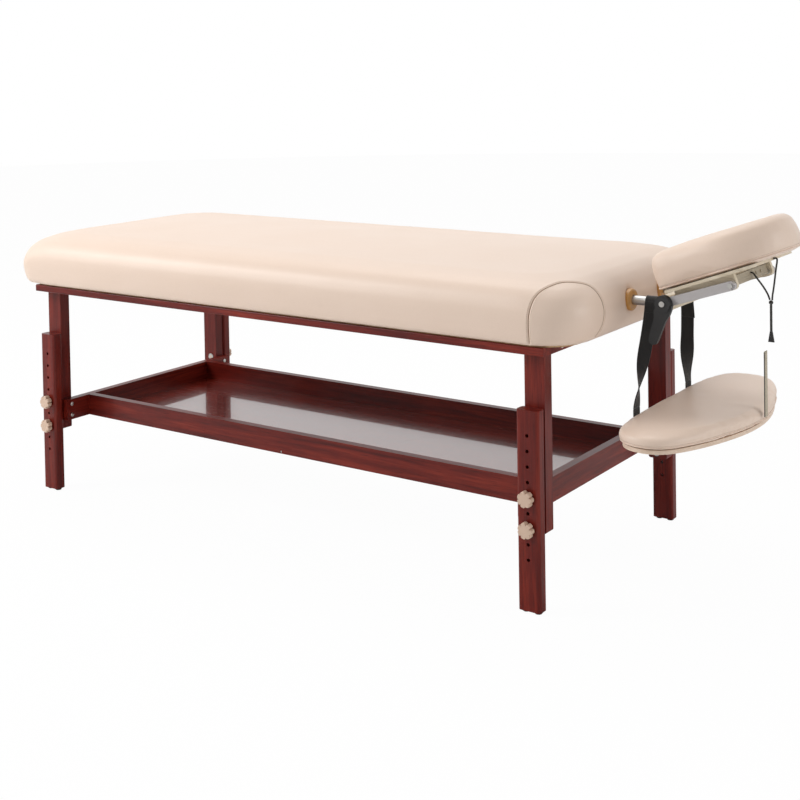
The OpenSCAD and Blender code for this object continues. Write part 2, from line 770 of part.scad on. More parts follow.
// A cross rail bolted to the inner faces of two posts
module tray_cross_rail(end) {
    color("sienna") placed() mirror([end < 0 ? 1 : 0, 0, 0]) difference() {
        box([cross_in_x, -post_out_y, tray_z], [post_in_x, post_out_y, tray_z + tray_rail_h]);
        box([cross_in_x - over, -long_in_y, tray_z + panel_lip],
            [cross_in_x + groove_d, long_in_y, tray_z + panel_lip + panel_t]);
        for (side = [-1, 1], z = rail_bolt_zs) {
            translate([0, side * post_y, z]) rod_x(cross_in_x - over, post_in_x + over, rail_bolt_d);
            translate([0, side * long_y, z]) rod_x(cross_in_x - over, post_in_x + over, screw_shank_d);
        }
    }
}

module tray_rail_foot() {
    tray_cross_rail(-1);
}

module tray_rail_head() {
    tray_cross_rail(1);
}

module tray_panel() {
    panel_x = cross_in_x + groove_d;
    panel_y = long_in_y + groove_d;
    color("peru") placed() translate([0, 0, tray_z + panel_lip]) linear_extrude(panel_t) {
        square([2 * panel_x, 2 * long_in_y], center = true);
        square([2 * cross_in_x, 2 * panel_y], center = true);
    }
}

// A domed screw along X: its head stands on a face, its shank runs from there
module domed_screw(shank_d, shank_l, head_d, head_h) {
    rod_x(-shank_l, 0, shank_d);
    rotate([0, 90, 0]) intersection() {
        cylinder(d = head_d, h = head_h);
        translate([0, 0, head_h - head_d]) sphere(r = head_d);
    }
}

module rail_bolts() {
    color("silver") for (end = [-1, 1], side = [-1, 1], z = rail_bolt_zs) at_corner(end, side)
        translate([cross_in_x, post_y, z]) mirror([1, 0, 0])
            domed_screw(rail_bolt_d - 2 * seat_gap, tray_rail_t + rail_bolt_in - seat_gap,
                rail_head_d, rail_head_h);
}

module tray_screws() {
    color("silver") {
        for (end = [-1, 1], side = [-1, 1], z = rail_bolt_zs) at_corner(end, side)
            translate([post_in_x, long_y, z])
                domed_screw(screw_shank_d - 2 * seat_gap, screw_l - seat_gap, rail_head_d, rail_head_h);
        for (side = [-1, 1]) placed() mirror([0, side < 0 ? 1 : 0, 0])
            translate([-panel_screw_x, 0, panel_screw_z]) {
                rod_y(long_in_y + groove_d + seat_gap, long_out_y - panel_screw_d / 2 + over,
                    screw_shank_d - 2 * seat_gap);
                rod_y(long_out_y - panel_screw_d / 2 + seat_gap, long_out_y - panel_screw_d / 4,
                    panel_screw_d - 2 * seat_gap);
            }
    }
}

module socket_block() {
    color("burlywood") placed() difference() {
        box([block_out_x - block_l, -block_w / 2, block_z],
            [block_out_x, block_w / 2, block_z + block_h]);
        for (y = [-socket_y, socket_y]) translate([0, y, socket_z])
            rod_x(bed_out_x - cradle_post_in - socket_end, block_out_x + over,
                cradle_post_d + 2 * run_gap);
    }
}

module grommets() {
    color("goldenrod") placed() for (y = [-socket_y, socket_y]) translate([0, y, socket_z])
        difference() {
            union() {
                rod_x(block_out_x, grommet_x + over, sleeve_d);
                translate([grommet_x, 0, 0]) rotate([0, 90, 0]) rotate_extrude() {
                    square([grommet_d / 2, grommet_t - grommet_lip_r]);
                    square([grommet_d / 2 - grommet_lip_r, grommet_t]);
                    translate([grommet_d / 2 - grommet_lip_r, grommet_t - grommet_lip_r])
                        circle(r = grommet_lip_r);
                }
            }
            rod_x(block_out_x - over, grommet_x + grommet_t + over, grommet_bore);
        }
}

module cradle_posts() {
    color("silver") placed() for (y = [-socket_y, socket_y]) translate([0, y, socket_z])
        difference() {
            rod_x(bed_out_x - cradle_post_in, crossbar_out_x, cradle_post_d);
            rod_x(bed_out_x - cradle_post_in - over, crossbar_out_x + over,
                cradle_post_d - 2 * cradle_post_wall);
        }
}

module cradle_crossbar() {
    color("wheat") placed() difference() {
        bar_y([crossbar_x, -crossbar_w / 2, crossbar_z],
            [crossbar_out_x, crossbar_w / 2, crossbar_z + crossbar_h], rail_edge_r);
        for (y = [-socket_y, socket_y]) translate([0, y, socket_z])
            rod_x(crossbar_x - over, crossbar_out_x + over, cradle_post_d + 2 * seat_gap);
    }
}

// The two ears on the crossbar that carry the lift rod
module cradle_knuckles() {
    color("wheat") placed() for (side = [-1, 1]) mirror([0, side < 0 ? 1 : 0, 0]) difference() {
        translate([lift_x, crossbar_w / 2, lift_z]) rotate([90, 0, 0]) linear_extrude(knuckle_w) {
            intersection() {
                circle(r = knuckle_r);
                translate([-lift_off_x, -knuckle_r]) square(2 * knuckle_r);
            }
            translate([-lift_off_x, -knuckle_r]) square([lift_off_x, 2 * knuckle_r]);
        }
        translate([lift_x, 0, lift_z]) rod_y(knuckle_y - over, crossbar_w / 2 + over, rod_d + 2 * seat_gap);
    }
}

module lift_rod() {
    color("silver") placed() translate([lift_x, 0, lift_z]) {
        rod_y(-cam_out_y, arm_out_y, rod_d);
        rod_y(-cam_out_y - rod_head_t - run_gap, -cam_out_y - run_gap, rod_head_d);
        rod_y(-cam_out_y - run_gap - over, -cam_out_y + over, rod_d);
        rod_y(arm_out_y - over, arm_out_y + washer_t, rod_d);
        translate([0, arm_out_y + washer_t, 0]) rotate([-90, 0, 0])
            cylinder(d = rod_head_d, h = rod_head_t * 2, $fn = 6);
    }
}

// One arm between the lift pivot and the tilt pivot
module arm() {
    translate([lift_x, arm_out_y, lift_z]) rotate([0, -arm_rise, 0]) difference() {
        rotate([90, 0, 0]) linear_extrude(arm_t) {
            circle(d = arm_h);
            translate([0, -arm_h / 2]) square([arm_l, arm_h]);
            translate([arm_l, 0]) circle(d = arm_h);
        }
        rod_y(-arm_t - over, over, rod_d + 2 * run_gap);
        translate([arm_l, 0, 0]) rod_y(-arm_t - over, over, tilt_bolt_d + 2 * seat_gap);
    }
}

module arm_front() {
    color("gainsboro") placed() mirror([0, 1, 0]) arm();
}

module arm_back() {
    color("gainsboro") placed() arm();
}

// The bolts on which the platform's brackets tilt, fast in the arms
module tilt_bolts() {
    color("silver") placed() for (side = [-1, 1]) mirror([0, side < 0 ? 1 : 0, 0])
        translate([tilt_x, 0, tilt_z]) {
            rod_y(bracket_in_y, arm_out_y, tilt_bolt_d);
            rod_y(bracket_in_y - head_bolt_h, bracket_in_y - soft_gap, head_bolt_d - over);
            rod_y(bracket_in_y - soft_gap - over, bracket_in_y + over, tilt_bolt_d);
            translate([0, arm_out_y, 0]) rotate([-90, 0, 0]) cylinder(d = head_bolt_d, h = head_bolt_h, $fn = 6);
        }
}

// Outline of the cam lever: shares of its length down from the pivot and of its head's radius
cam_outline_shares = [[0, 1], [0.22, 0.93], [0.42, 0.35], [0.7, -0.25], [0.93, -0.72], [1, -1.05],
    [0.99, -1.6], [0.88, -1.85], [0.6, -1.5], [0.35, -1.15], [0.12, -1]];

module cam_lever() {
    color("dimgray") placed() translate([lift_x, 0, lift_z]) difference() {
        union() {
            translate([0, -cam_in_y, 0]) rotate([90, 0, 0]) linear_extrude(cam_t)
                circle(r = cam_r);
            translate([0, -cam_in_y - cam_t * (1 - handle_share) / 2, 0]) rotate([90, 0, 0])
            linear_extrude(cam_t * handle_share)
                polygon(closed_curve([for (s = cam_outline_shares) [s[1] * cam_r, -s[0] * cam_l]], 3));
        }
        rod_y(-cam_out_y - over, -cam_in_y + over, rod_d + 2 * run_gap);
    }
}

// The platform panel, open towards the padded top for the face
module platform_panel() {
    slot_r = slot_w / 2;
    color("blanchedalmond") on_platform() translate([0, 0, platform_under]) linear_extrude(platform_t)
        difference() {
            translate([-platform_in, -platform_w / 2])
                round_square([platform_in + platform_out, platform_w], platform_corner_r);
            translate([-slot_back - slot_r, 0]) circle(r = slot_r);
            translate([-platform_in - over, -slot_r])
                square([platform_in + over - slot_back - slot_r, slot_w]);
        }
}

// A side bracket from the panel down to the tilt pivot
module bracket() {
    translate([0, bracket_out_y, 0]) rotate([90, 0, 0]) linear_extrude(bracket_t) difference() {
        union() {
            circle(r = bracket_r);
            polygon([[-bracket_in, platform_under], [-bracket_in, platform_under - bracket_end_h],
                [-bracket_r, -bracket_r], [0, -bracket_r], [bracket_r, 0], [bracket_r, platform_under]]);
        }
        circle(d = tilt_bolt_d + 2 * run_gap);
    }
}

module bracket_front() {
    color("blanchedalmond") on_platform() mirror([0, 1, 0]) bracket();
}

module bracket_back() {
    color("blanchedalmond") on_platform() bracket();
}

// The bar between the brackets, with two bolt heads on its outer face
module tilt_crossbar() {
    color("tan") on_platform() {
        box([tilt_bar_x - tilt_bar_t, -bracket_in_y + head_bolt_h + soft_gap, tilt_bar_z],
            [tilt_bar_x, bracket_in_y - head_bolt_h - soft_gap, tilt_bar_z + tilt_bar_h]);
        for (side = [-1, 1]) mirror([0, side < 0 ? 1 : 0, 0])
            box([tilt_bar_x - tilt_bar_t, bracket_in_y - head_bolt_h - over, head_bolt_d / 2 + soft_gap],
                [tilt_bar_x, bracket_in_y, tilt_bar_z + tilt_bar_h]);
        for (y = bar_bolt_y) translate([tilt_bar_x - over, y, tilt_bar_z + tilt_bar_h / 2])
            rod_x(0, bar_bolt_h + over, bar_bolt_d);
    }
}

module head_cushion() {
    color("bisque") placed() loft(head_rings);
}

// Shares of a strap's fall at its rings
strap_fall_shares = [1, 0.9, 0.8, 0.7, 0.6, 0.5, 0.42, 0.34, 0.26, 0.18, 0.1, 0.04, 0];

function strap_point(s, along_x, along_y) = [strap_x + along_x,
    socket_y + web_mid + (strap_foot_y - socket_y - web_mid) * s + along_y,
    socket_z + web_t - (strap_l + web_t) * s];

// A strap: a loop round its post, a twisted fall to the hinge line and a stitched tail
module strap(side) {
    color("black") placed() mirror([0, side < 0 ? 1 : 0, 0]) {
        translate([0, socket_y, socket_z]) difference() {
            rod_x(strap_x - web_w / 2, strap_x + web_w / 2, 2 * web_r + 2 * web_t);
            rod_x(strap_x - web_w / 2 - over, strap_x + web_w / 2 + over, 2 * web_r);
        }
        loft([for (s = strap_fall_shares) let (t = min(1, max(0, (s - 0.45) / 0.55)))
            web_ring(strap_point(s, (shelf_hinge_x - strap_x) * s * s * (3 - 2 * s), 0),
                90 * t * t * (3 - 2 * t))]);
        loft([for (z = [strap_tail, web_r + web_t])
            web_ring(strap_point(z / (strap_l + web_t), 0, -web_t * tail_share), 0)]);
    }
}

module front_strap() {
    strap(-1);
}

module rear_strap() {
    strap(1);
}

// The arm shelf's outline, counterclockwise, along X and Y
shelf_points = let (h = shelf_outline_shares, m = len(h))
    [for (i = [0:2 * m - 3])
        let (k = i < m ? i : 2 * m - 2 - i, sy = i < m ? -1 : 1)
        [shelf_in_x + h[k][0] * shelf_w, sy * h[k][1] * shelf_l / 2]];
shelf_outline = closed_curve(shelf_points, 3);

module shelf_board() {
    color("burlywood") placed() translate([0, 0, board_z]) linear_extrude(shelf_t)
        polygon(drawn_in(shelf_outline, pad_over));
}

module shelf_pad() {
    color("bisque") placed() loft([for (s = pad_side_shares)
        [for (p = drawn_in(shelf_outline, s[1] * pad_edge)) [p[0], p[1], pad_z + s[0] * pad_h]]]);
}

// The ends of the webbing that wrap the inner edge of the shelf and run under its board
module shelf_webbing() {
    x0 = shelf_hinge_x - web_t / 2;
    color("black") placed() for (side = [-1, 1])
        translate([0, side * strap_foot_y - web_w / 2, 0]) {
            box([x0, 0, board_z - web_t], [x0 + web_t, web_w, shelf_hinge_z - 2 * soft_gap]);
            box([x0, 0, board_z - web_t], [x0 + stub_under, web_w, board_z]);
        }
}

// The strap from the shelf's outer edge up towards the yoke
module outer_strap() {
    color("beige") placed() translate([outer_strap_x, -outer_strap_w / 2, pad_top_z - pad_h / 2])
        cube([web_t, outer_strap_w, outer_strap_l + pad_h / 2]);
}

module yoke_strands() {
    color("dimgray") placed() for (route = [outer_strand, inner_strand])
        loft([for (i = [len(route) - 1:-1:0]) cord_ring([for (p = route) p], i, -strand_d, 8)]);
}

module yoke_bead() {
    color("dimgray") placed() translate([join_point[0], 0, join_point[1]]) sphere(d = bead_d);
}

// The doubled cord that hangs from the bead
yoke_fall = 61;

module yoke_cord() {
    color("dimgray") placed() translate([join_point[0], 0, join_point[1] - bead_d / 2 - soft_gap - yoke_fall])
        cylinder(d = cord_d, h = yoke_fall, $fn = 8);
}

module yoke_tab() {
    foot_z = join_point[1] - bead_d / 2 - soft_gap - yoke_fall - tab_l;
    color("black") placed() translate([join_point[0], tab_t / 2, foot_z]) rotate([90, 0, 0])
        linear_extrude(tab_t) polygon([[-tab_w / 2, 0], [tab_w / 2, 0], [cord_d / 2, tab_l],
            [-cord_d / 2, tab_l]]);
}

bed_cushion();
deck_board();
base_rail_front();
base_rail_back();
base_cross_rails();
at_corner(-1, -1) post();  // post_front_foot
at_corner(1, -1) post();  // post_front_head
at_corner(-1, 1) post();  // post_back_foot
at_corner(1, 1) post();  // post_back_head
tray_rail_front();
tray_rail_back();
tray_rail_foot();
tray_rail_head();
tray_panel();
leg_nuts();
rail_bolts();
tray_screws();
socket_block();
grommets();
rail_stud();
at_corner(-1, -1) lower_leg();  // lower_leg_front_foot
at_corner(1, -1) lower_leg();  // lower_leg_front_head
at_corner(-1, 1) lower_leg();  // lower_leg_back_foot
at_corner(1, 1) lower_leg();  // lower_leg_back_head
at_corner(-1, -1) glides();  // glides_front_foot
at_corner(1, -1) glides();  // glides_front_head
at_corner(-1, 1) glides();  // glides_back_foot
at_corner(1, 1) glides();  // glides_back_head
at_corner(-1, -1) clamp_knob(upper_bolt_z);  // knob_front_foot_upper
at_corner(-1, -1) clamp_knob(lower_bolt_z);  // knob_front_foot_lower
at_corner(1, -1) clamp_knob(upper_bolt_z);  // knob_front_head_upper
at_corner(1, -1) clamp_knob(lower_bolt_z);  // knob_front_head_lower
at_corner(-1, 1) clamp_knob(upper_bolt_z);  // knob_back_foot_upper
at_corner(-1, 1) clamp_knob(lower_bolt_z);  // knob_back_foot_lower
at_corner(1, 1) clamp_knob(upper_bolt_z);  // knob_back_head_upper
at_corner(1, 1) clamp_knob(lower_bolt_z);  // knob_back_head_lower
cradle_posts();
cradle_crossbar();
cradle_knuckles();
lift_rod();
front_strap();
rear_strap();
arm_front();
arm_back();
tilt_bolts();
cam_lever();
platform_panel();
bracket_front();
bracket_back();
tilt_crossbar();
head_cushion();
yoke_strands();
yoke_bead();
yoke_cord();
yoke_tab();
shelf_board();
shelf_pad();
shelf_webbing();
outer_strap();
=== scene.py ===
# Padded treatment table with its face cradle and hanging arm shelf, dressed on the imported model.
import math
import time
import bmesh
import bpy
from mathutils import Matrix, Vector, noise
from mathutils.bvhtree import BVHTree
from mathutils.kdtree import KDTree


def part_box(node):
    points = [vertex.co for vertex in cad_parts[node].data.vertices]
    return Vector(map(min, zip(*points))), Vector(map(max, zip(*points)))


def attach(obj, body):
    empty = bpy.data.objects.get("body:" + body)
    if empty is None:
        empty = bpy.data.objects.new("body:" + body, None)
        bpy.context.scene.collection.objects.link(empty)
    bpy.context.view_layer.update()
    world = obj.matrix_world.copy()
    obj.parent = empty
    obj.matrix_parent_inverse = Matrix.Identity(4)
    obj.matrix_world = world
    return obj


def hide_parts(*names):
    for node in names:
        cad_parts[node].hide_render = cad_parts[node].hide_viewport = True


started = time.time()
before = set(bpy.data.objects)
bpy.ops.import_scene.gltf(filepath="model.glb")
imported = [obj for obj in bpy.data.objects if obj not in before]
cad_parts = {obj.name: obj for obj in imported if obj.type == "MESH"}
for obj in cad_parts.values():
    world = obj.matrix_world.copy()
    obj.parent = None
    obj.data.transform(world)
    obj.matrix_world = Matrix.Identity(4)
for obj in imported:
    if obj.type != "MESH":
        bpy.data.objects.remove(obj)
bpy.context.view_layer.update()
tableMiddle = 184.377  # mm from the middle of the padded top to the middle of the whole table


def at(x, y, z):  # millimetres from the middle of the padded top, to metres in the table's frame
    return Vector(((x - tableMiddle) / 1000, y / 1000, z / 1000))


def tone(r, g, b):  # a colour as a picture shows it, to the linear values that shaders take
    shares = [c / 255 for c in (r, g, b)]
    return tuple(c / 12.92 if c < 10 / 255 else ((c + 0.055) / 1.055) ** 2.4 for c in shares) + (1.0,)


def blank(name, faces=None, points=None):
    mesh = bpy.data.meshes.new(name)
    if points:
        mesh.from_pydata([tuple(p) for p in points], [], faces)
    piece = bpy.data.objects.new(name, mesh)
    bpy.context.scene.collection.objects.link(piece)
    return piece


# Camera
print("camera", round(time.time() - started, 1))
view = {"eye": (2267.95, -2919.53, 1239.23), "yaw": 35.208, "down": 1.704, "roll": -0.934,
        "lens": 59.563, "sensor": 36, "shift": -0.3737, "near": 0.05, "far": 60}


def placeCamera(v):
    yaw, down, roll = (math.radians(v[k]) for k in ("yaw", "down", "roll"))
    ahead = Vector((-math.sin(yaw) * math.cos(down), math.cos(yaw) * math.cos(down), -math.sin(down)))
    level = Vector((math.cos(yaw), math.sin(yaw), 0))
    up = level.cross(ahead)
    right = level * math.cos(roll) + up * math.sin(roll)
    top = up * math.cos(roll) - level * math.sin(roll)
    lens = bpy.data.cameras.new("photoView")
    lens.lens, lens.sensor_width, lens.shift_y = v["lens"], v["sensor"], v["shift"]
    lens.clip_start, lens.clip_end = v["near"], v["far"]
    camera = bpy.data.objects.new("photoView", lens)
    bpy.context.scene.collection.objects.link(camera)
    camera.matrix_world = Matrix.Translation(at(*v["eye"])) @ Matrix((right, top, -ahead)).transposed().to_4x4()
    bpy.context.scene.camera = camera


placeCamera(view)


# Shader sums: a Signal is one socket, and arithmetic on it adds Math nodes
class Signal:
    def __init__(self, graph, socket):
        self.graph, self.socket = graph, socket

    def sum(self, work, a, b):
        return self.graph.node("Math", {"operation": work}, {0: a, 1: b})

    def __add__(self, other): return self.sum("ADD", self, other)
    def __radd__(self, other): return self.sum("ADD", other, self)
    def __sub__(self, other): return self.sum("SUBTRACT", self, other)
    def __mul__(self, other): return self.sum("MULTIPLY", self, other)
    def __gt__(self, other): return self.sum("GREATER_THAN", self, other)
    def __lt__(self, other): return self.sum("LESS_THAN", self, other)


class Graph:
    def __init__(self, tree):
        self.tree = tree
        tree.nodes.clear()

    def node(self, kind, settings, sockets, out=0):
        made = self.tree.nodes.new("ShaderNode" + kind)
        for key, value in settings.items():
            if key == "stops":
                ramp = made.color_ramp
                while len(ramp.elements) < len(value):
                    ramp.elements.new(0.5)
                for stop, (place, colour) in zip(ramp.elements, value):
                    stop.position, stop.color = place, colour
            else:
                setattr(made, key, value)
        for key, value in sockets.items():
            self.feed(made.inputs[key], value)
        return Signal(self, made.outputs[out])

    def feed(self, socket, value):
        if isinstance(value, Signal):
            self.tree.links.new(value.socket, socket)
        else:
            socket.default_value = value

    def show(self, kind, shader):
        self.feed(self.tree.nodes.new("ShaderNode" + kind).inputs[0], shader)


class Finish(Graph):
    def __init__(self, name, steady):
        self.material = bpy.data.materials.new(name)
        self.material.use_nodes = True
        super().__init__(self.material.node_tree)
        self.shader = self.tree.nodes.new("ShaderNodeBsdfPrincipled")
        self.output = self.tree.nodes.new("ShaderNodeOutputMaterial")
        self.tree.links.new(self.shader.outputs[0], self.output.inputs[0])
        for socket, value in steady.items():
            self.shader.inputs[socket].default_value = value

    def give(self, **sockets):
        names = {"colour": "Base Color", "rough": "Roughness", "normal": "Normal"}
        for key, value in sockets.items():
            self.feed(self.shader.inputs[names[key]], value)
        return self.material

    def place(self, x, y, z):  # the piece's own metres, times a number of repeats a metre on each axis
        spot = self.node("TexCoord", {}, {}, "Object")
        return self.node("VectorMath", {"operation": "MULTIPLY"}, {0: spot, 1: (x, y, z)})

    def cloud(self, vector, detail, rough=0.55, scale=1.0, warp=0.0):
        return self.node("TexNoise", {}, {"Vector": vector, "Scale": scale, "Detail": detail,
                                          "Roughness": rough, "Distortion": warp})

    def mix(self, a, b, share):
        return self.node("Mix", {"data_type": "RGBA"}, {0: share, 6: a, 7: b}, 2)

    def ramp(self, share, stops):
        return self.node("ValToRGB", {"stops": stops}, {0: share})

    def bump(self, height, depth, strength):
        return self.node("Bump", {}, {"Height": height, "Distance": depth, "Strength": strength})


# Finishes
print("finishes", round(time.time() - started, 1))
vinylLook = {"lit": (236, 214, 197), "deep": (228, 204, 185), "grain": 520, "creases": 0.45, "drift": 5.5,
             "poreEdge": 0.55, "poreDark": 26, "rough": 0.42, "depth": 0.00022}
woodGrain = {"fineAcross": 15, "fineAlong": 7, "tint": 3, "poreEdge": 0.34, "figureEdge": 0.42, "poreDark": 0.55,
             "depth": 0.00012}
woodLook = {"dark": (64, 12, 9), "mid": (102, 25, 17), "light": (138, 46, 30),
            "across": 55, "along": 2.6, "rough": 0.27}
panelLook = {"dark": (92, 24, 17), "mid": (120, 38, 28), "light": (142, 54, 40),
             "across": 40, "along": 2.0, "rough": 0.17}
bareLook = {"dark": (176, 141, 100), "mid": (196, 163, 120), "light": (212, 184, 144),
            "across": 34, "along": 2.0, "rough": 0.62}
paintedLook = {"dark": (196, 182, 156), "mid": (216, 203, 180), "light": (226, 216, 196),
               "across": 60, "along": 3, "rough": 0.45}
edgeLook = {"dark": (214, 190, 168), "mid": (226, 203, 182), "light": (234, 213, 194),
            "across": 50, "along": 3, "rough": 0.45}
# the cream paint darkened to about three quarters: painted shade, used on the tilt crossbar
shadedCreamLook = {"dark": (140, 128, 108), "mid": (163, 151, 130), "light": (182, 171, 151),
             "across": 60, "along": 3, "rough": 0.5}


def faded(colour, share):
    return tone(*[c * share for c in colour])


def vinylFinish(look):
    f = Finish("creamVinyl", {"Coat Weight": 0.12, "Coat Roughness": 0.3, "Sheen Weight": 0.08,
                              "Specular IOR Level": 0.45})
    spot = f.place(1, 1, 1)
    cells = f.node("TexVoronoi", {"feature": "DISTANCE_TO_EDGE"},
                   {"Vector": spot, "Scale": look["grain"], "Randomness": 0.9})
    creases = f.cloud(spot, 5.0, 0.6, look["grain"] * look["creases"])
    drift = f.cloud(spot, 3.0, 0.5, look["drift"])
    # the grain's valleys, where the bump is lowest, are darkened below: painted shade in the dips
    pores = (cells * 9) < look["poreEdge"]
    shade = f.mix(tone(*look["lit"]), tone(*look["deep"]), drift * 0.55)
    colour = f.mix(shade, tone(*[c - look["poreDark"] for c in look["deep"]]), pores * 0.18)
    height = cells * 1.6 + creases * 0.5
    return f.give(colour=colour, rough=look["rough"] + drift * 0.1 - creases * 0.06,
                  normal=f.bump(height, look["depth"], 0.7))


def woodFinish(name, look, axis, steady):
    f, grain = Finish(name, steady), woodGrain
    stretch = [look["across"]] * 3
    stretch[axis] = look["along"]
    fine = [look["across"] * grain["fineAcross"]] * 3
    fine[axis] = look["along"] * grain["fineAlong"]
    figure = f.cloud(f.place(*stretch), 5.0, 0.62, 1.0, 0.6)
    streaks = f.cloud(f.place(*fine), 2.0, 0.6)
    tint = f.cloud(f.place(*[grain["tint"]] * 3), 2.0)
    share = figure * 0.75 + streaks * 0.3 + tint * 0.25 - 0.15
    stops = [(0.3, tone(*look["dark"])), (0.5, tone(*look["mid"])), (0.72, tone(*look["light"]))]
    pores = (streaks < grain["poreEdge"]) * (figure > grain["figureEdge"])
    colour = f.mix(f.ramp(share, stops), faded(look["dark"], grain["poreDark"]), pores * 0.55)
    return f.give(colour=colour, rough=look["rough"] + streaks * 0.12 + pores * 0.1,
                  normal=f.bump(streaks - pores * 0.4, grain["depth"], 0.45))


def mouldedFinish(name, colour, rough, grain, coat=0.0, coatRough=0.03):
    f = Finish(name, {"Specular IOR Level": 0.5, "Coat Weight": coat, "Coat Roughness": coatRough})
    spot = f.place(1, 1, 1)
    speck = f.cloud(spot, 3.0, 0.6, grain)
    haze = f.cloud(spot, 2.0, 0.5, 40)
    shade = f.mix(tone(*colour), faded(colour, 0.88), haze * 0.6)
    return f.give(colour=shade, rough=rough + speck * 0.12, normal=f.bump(speck, 0.00006, 0.5))


def platedFinish(name, colour, rough, brush=(2400, 90, 2400)):
    f = Finish(name, {"Metallic": 1.0})
    brushed = f.cloud(f.place(*brush), 2.0, 0.5)
    bloom = f.cloud(f.place(1, 1, 1), 3.0, 0.6, 70)
    shade = f.mix(tone(*colour), faded(colour, 0.8), bloom * 0.7)
    return f.give(colour=shade, rough=rough + bloom * 0.16, normal=f.bump(brushed, 0.00003, 0.5))


def wovenFinish(name, colour, shine, pitch, rough=0.75):
    f = Finish(name, {"Sheen Weight": shine, "Sheen Roughness": 0.5, "Specular IOR Level": 0.35})
    turn = math.tau / pitch
    spot = f.place(turn, turn, turn)
    x, y, z = (f.node("SeparateXYZ", {}, {0: spot}, k) for k in range(3))
    rows = f.node("Math", {"operation": "SINE"}, {0: z + x * 0.5 + y * 0.5})
    threads = f.node("Math", {"operation": "SINE"}, {0: (x + y) * 1.2 - z * 0.5})
    weave = rows * threads * 0.5 + 0.5
    fuzz = f.cloud(f.place(1, 1, 1), 3.0, 0.6, 900)
    # threads dimmed to 0.55 of their colour where the weave dips, the bump's low points: painted shade between threads
    shade = f.mix(faded(colour, 0.55), tone(*colour), weave * 0.8 + fuzz * 0.25)
    return f.give(colour=shade, rough=rough + fuzz * 0.15, normal=f.bump(weave + fuzz * 0.3, pitch * 0.14, 0.8))


lacquer = {"Coat Weight": 0.08, "Coat Roughness": 0.08, "Specular IOR Level": 0.22}
mirrorLacquer = {"Coat Weight": 1.0, "Coat Roughness": 0.05, "Coat IOR": 1.6, "Specular IOR Level": 0.5}
thinPaint = {"Coat Weight": 0.1, "Coat Roughness": 0.35}
vinyl = vinylFinish(vinylLook)
redWood = [woodFinish("redWoodAlong" + "XYZ"[k], woodLook, k, lacquer) for k in range(3)]
trayWood = woodFinish("trayWood", panelLook, 0, mirrorLacquer)
bareWood = woodFinish("bareWood", bareLook, 0, {"Specular IOR Level": 0.3})
creamPaint = woodFinish("creamPaint", paintedLook, 0, {"Coat Weight": 0.15, "Coat Roughness": 0.3})
paleBoard = woodFinish("paleBoard", edgeLook, 1, thinPaint)
# the cream paint's darker copy: painted shade
shadedCreamPaint = woodFinish("shadedCreamPaint", shadedCreamLook, 1, thinPaint)
knobPlastic = mouldedFinish("knobPlastic", (220, 191, 169), 0.36, 700)
studPlastic = mouldedFinish("studPlastic", (236, 224, 208), 0.34, 700)
zincSteel = platedFinish("zincSteel", (196, 194, 190), 0.26)
greyRubber = mouldedFinish("greyGlide", (66, 62, 60), 0.6, 500)
tanPlastic = mouldedFinish("tanGrommet", (202, 148, 78), 0.32, 500, 0.2, 0.2)
greyPaint = mouldedFinish("greyArmPaint", (188, 184, 184), 0.38, 900, 0.2, 0.25)
blackPlastic = mouldedFinish("blackLever", (30, 30, 31), 0.42, 700)
blackWeb = wovenFinish("blackWebbing", (34, 34, 35), 0.3, 0.0022)
creamWeb = wovenFinish("creamTape", (226, 214, 190), 0.2, 0.0016)
greyCord = wovenFinish("greyCord", (70, 69, 66), 0.25, 0.0018)
blackThread = wovenFinish("blackThread", (52, 52, 54), 0.2, 0.0008, 0.7)
creamThread = wovenFinish("creamThread", (214, 190, 164), 0.1, 0.0008, 0.7)
seamShade = mouldedFinish("seamShade", (150, 118, 92), 0.6, 900)


# Making: tubes, skins, flat straps and rows of stitches
def tubeShape(line, radius, sides, closed=False, taper=None):  # points and faces along a line
    line = [Vector(p) for p in line]
    count = len(line)
    points, faces = [], []
    across = None
    for k, spot in enumerate(line):
        before = line[(k - 1) % count] if closed or k else spot
        after = line[(k + 1) % count] if closed or k < count - 1 else spot
        ahead = (after - before).normalized()
        if across is None:
            across = ahead.orthogonal().normalized()
        across = (across - ahead * across.dot(ahead)).normalized()
        upward = ahead.cross(across)
        size = radius * (taper(k / (count - 1)) if taper else 1)
        for n in range(sides):
            turn = math.tau * n / sides
            points.append(spot + (across * math.cos(turn) + upward * math.sin(turn)) * size)
    for k in range(count if closed else count - 1):
        for n in range(sides):
            a, b = k * sides + n, k * sides + (n + 1) % sides
            c, d = (a + sides) % (count * sides), (b + sides) % (count * sides)
            faces.append((a, b, d, c))
    if not closed:
        faces.append(tuple(range(sides))[::-1])
        faces.append(tuple(range((count - 1) * sides, count * sides)))
    return points, faces


def tube(name, line, radius, sides, finish):
    points, faces = tubeShape(line, radius, sides)
    return dressed(blank(name, faces, points), finish)


def dressed(piece, finish):
    piece.data.materials.clear()
    piece.data.materials.append(finish)
    for face in piece.data.polygons:
        face.use_smooth = True
    return piece


def settle(piece):  # keeps what the modifiers make and drops them
    bpy.context.view_layer.update()
    graph = bpy.context.evaluated_depsgraph_get()
    shape = bpy.data.meshes.new_from_object(piece.evaluated_get(graph))
    piece.modifiers.clear()
    piece.data = shape


def skinOf(name, node, voxel, rounds):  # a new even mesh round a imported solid
    piece = blank(name)
    piece.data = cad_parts[node].data.copy()
    remesh = piece.modifiers.new("evenSkin", "REMESH")
    remesh.mode, remesh.voxel_size = "VOXEL", voxel
    soften(piece, rounds)
    return dressed(piece, vinyl)


def soften(piece, rounds):
    smooth = piece.modifiers.new("soften", "SMOOTH")
    smooth.factor, smooth.iterations = 0.5, rounds
    settle(piece)


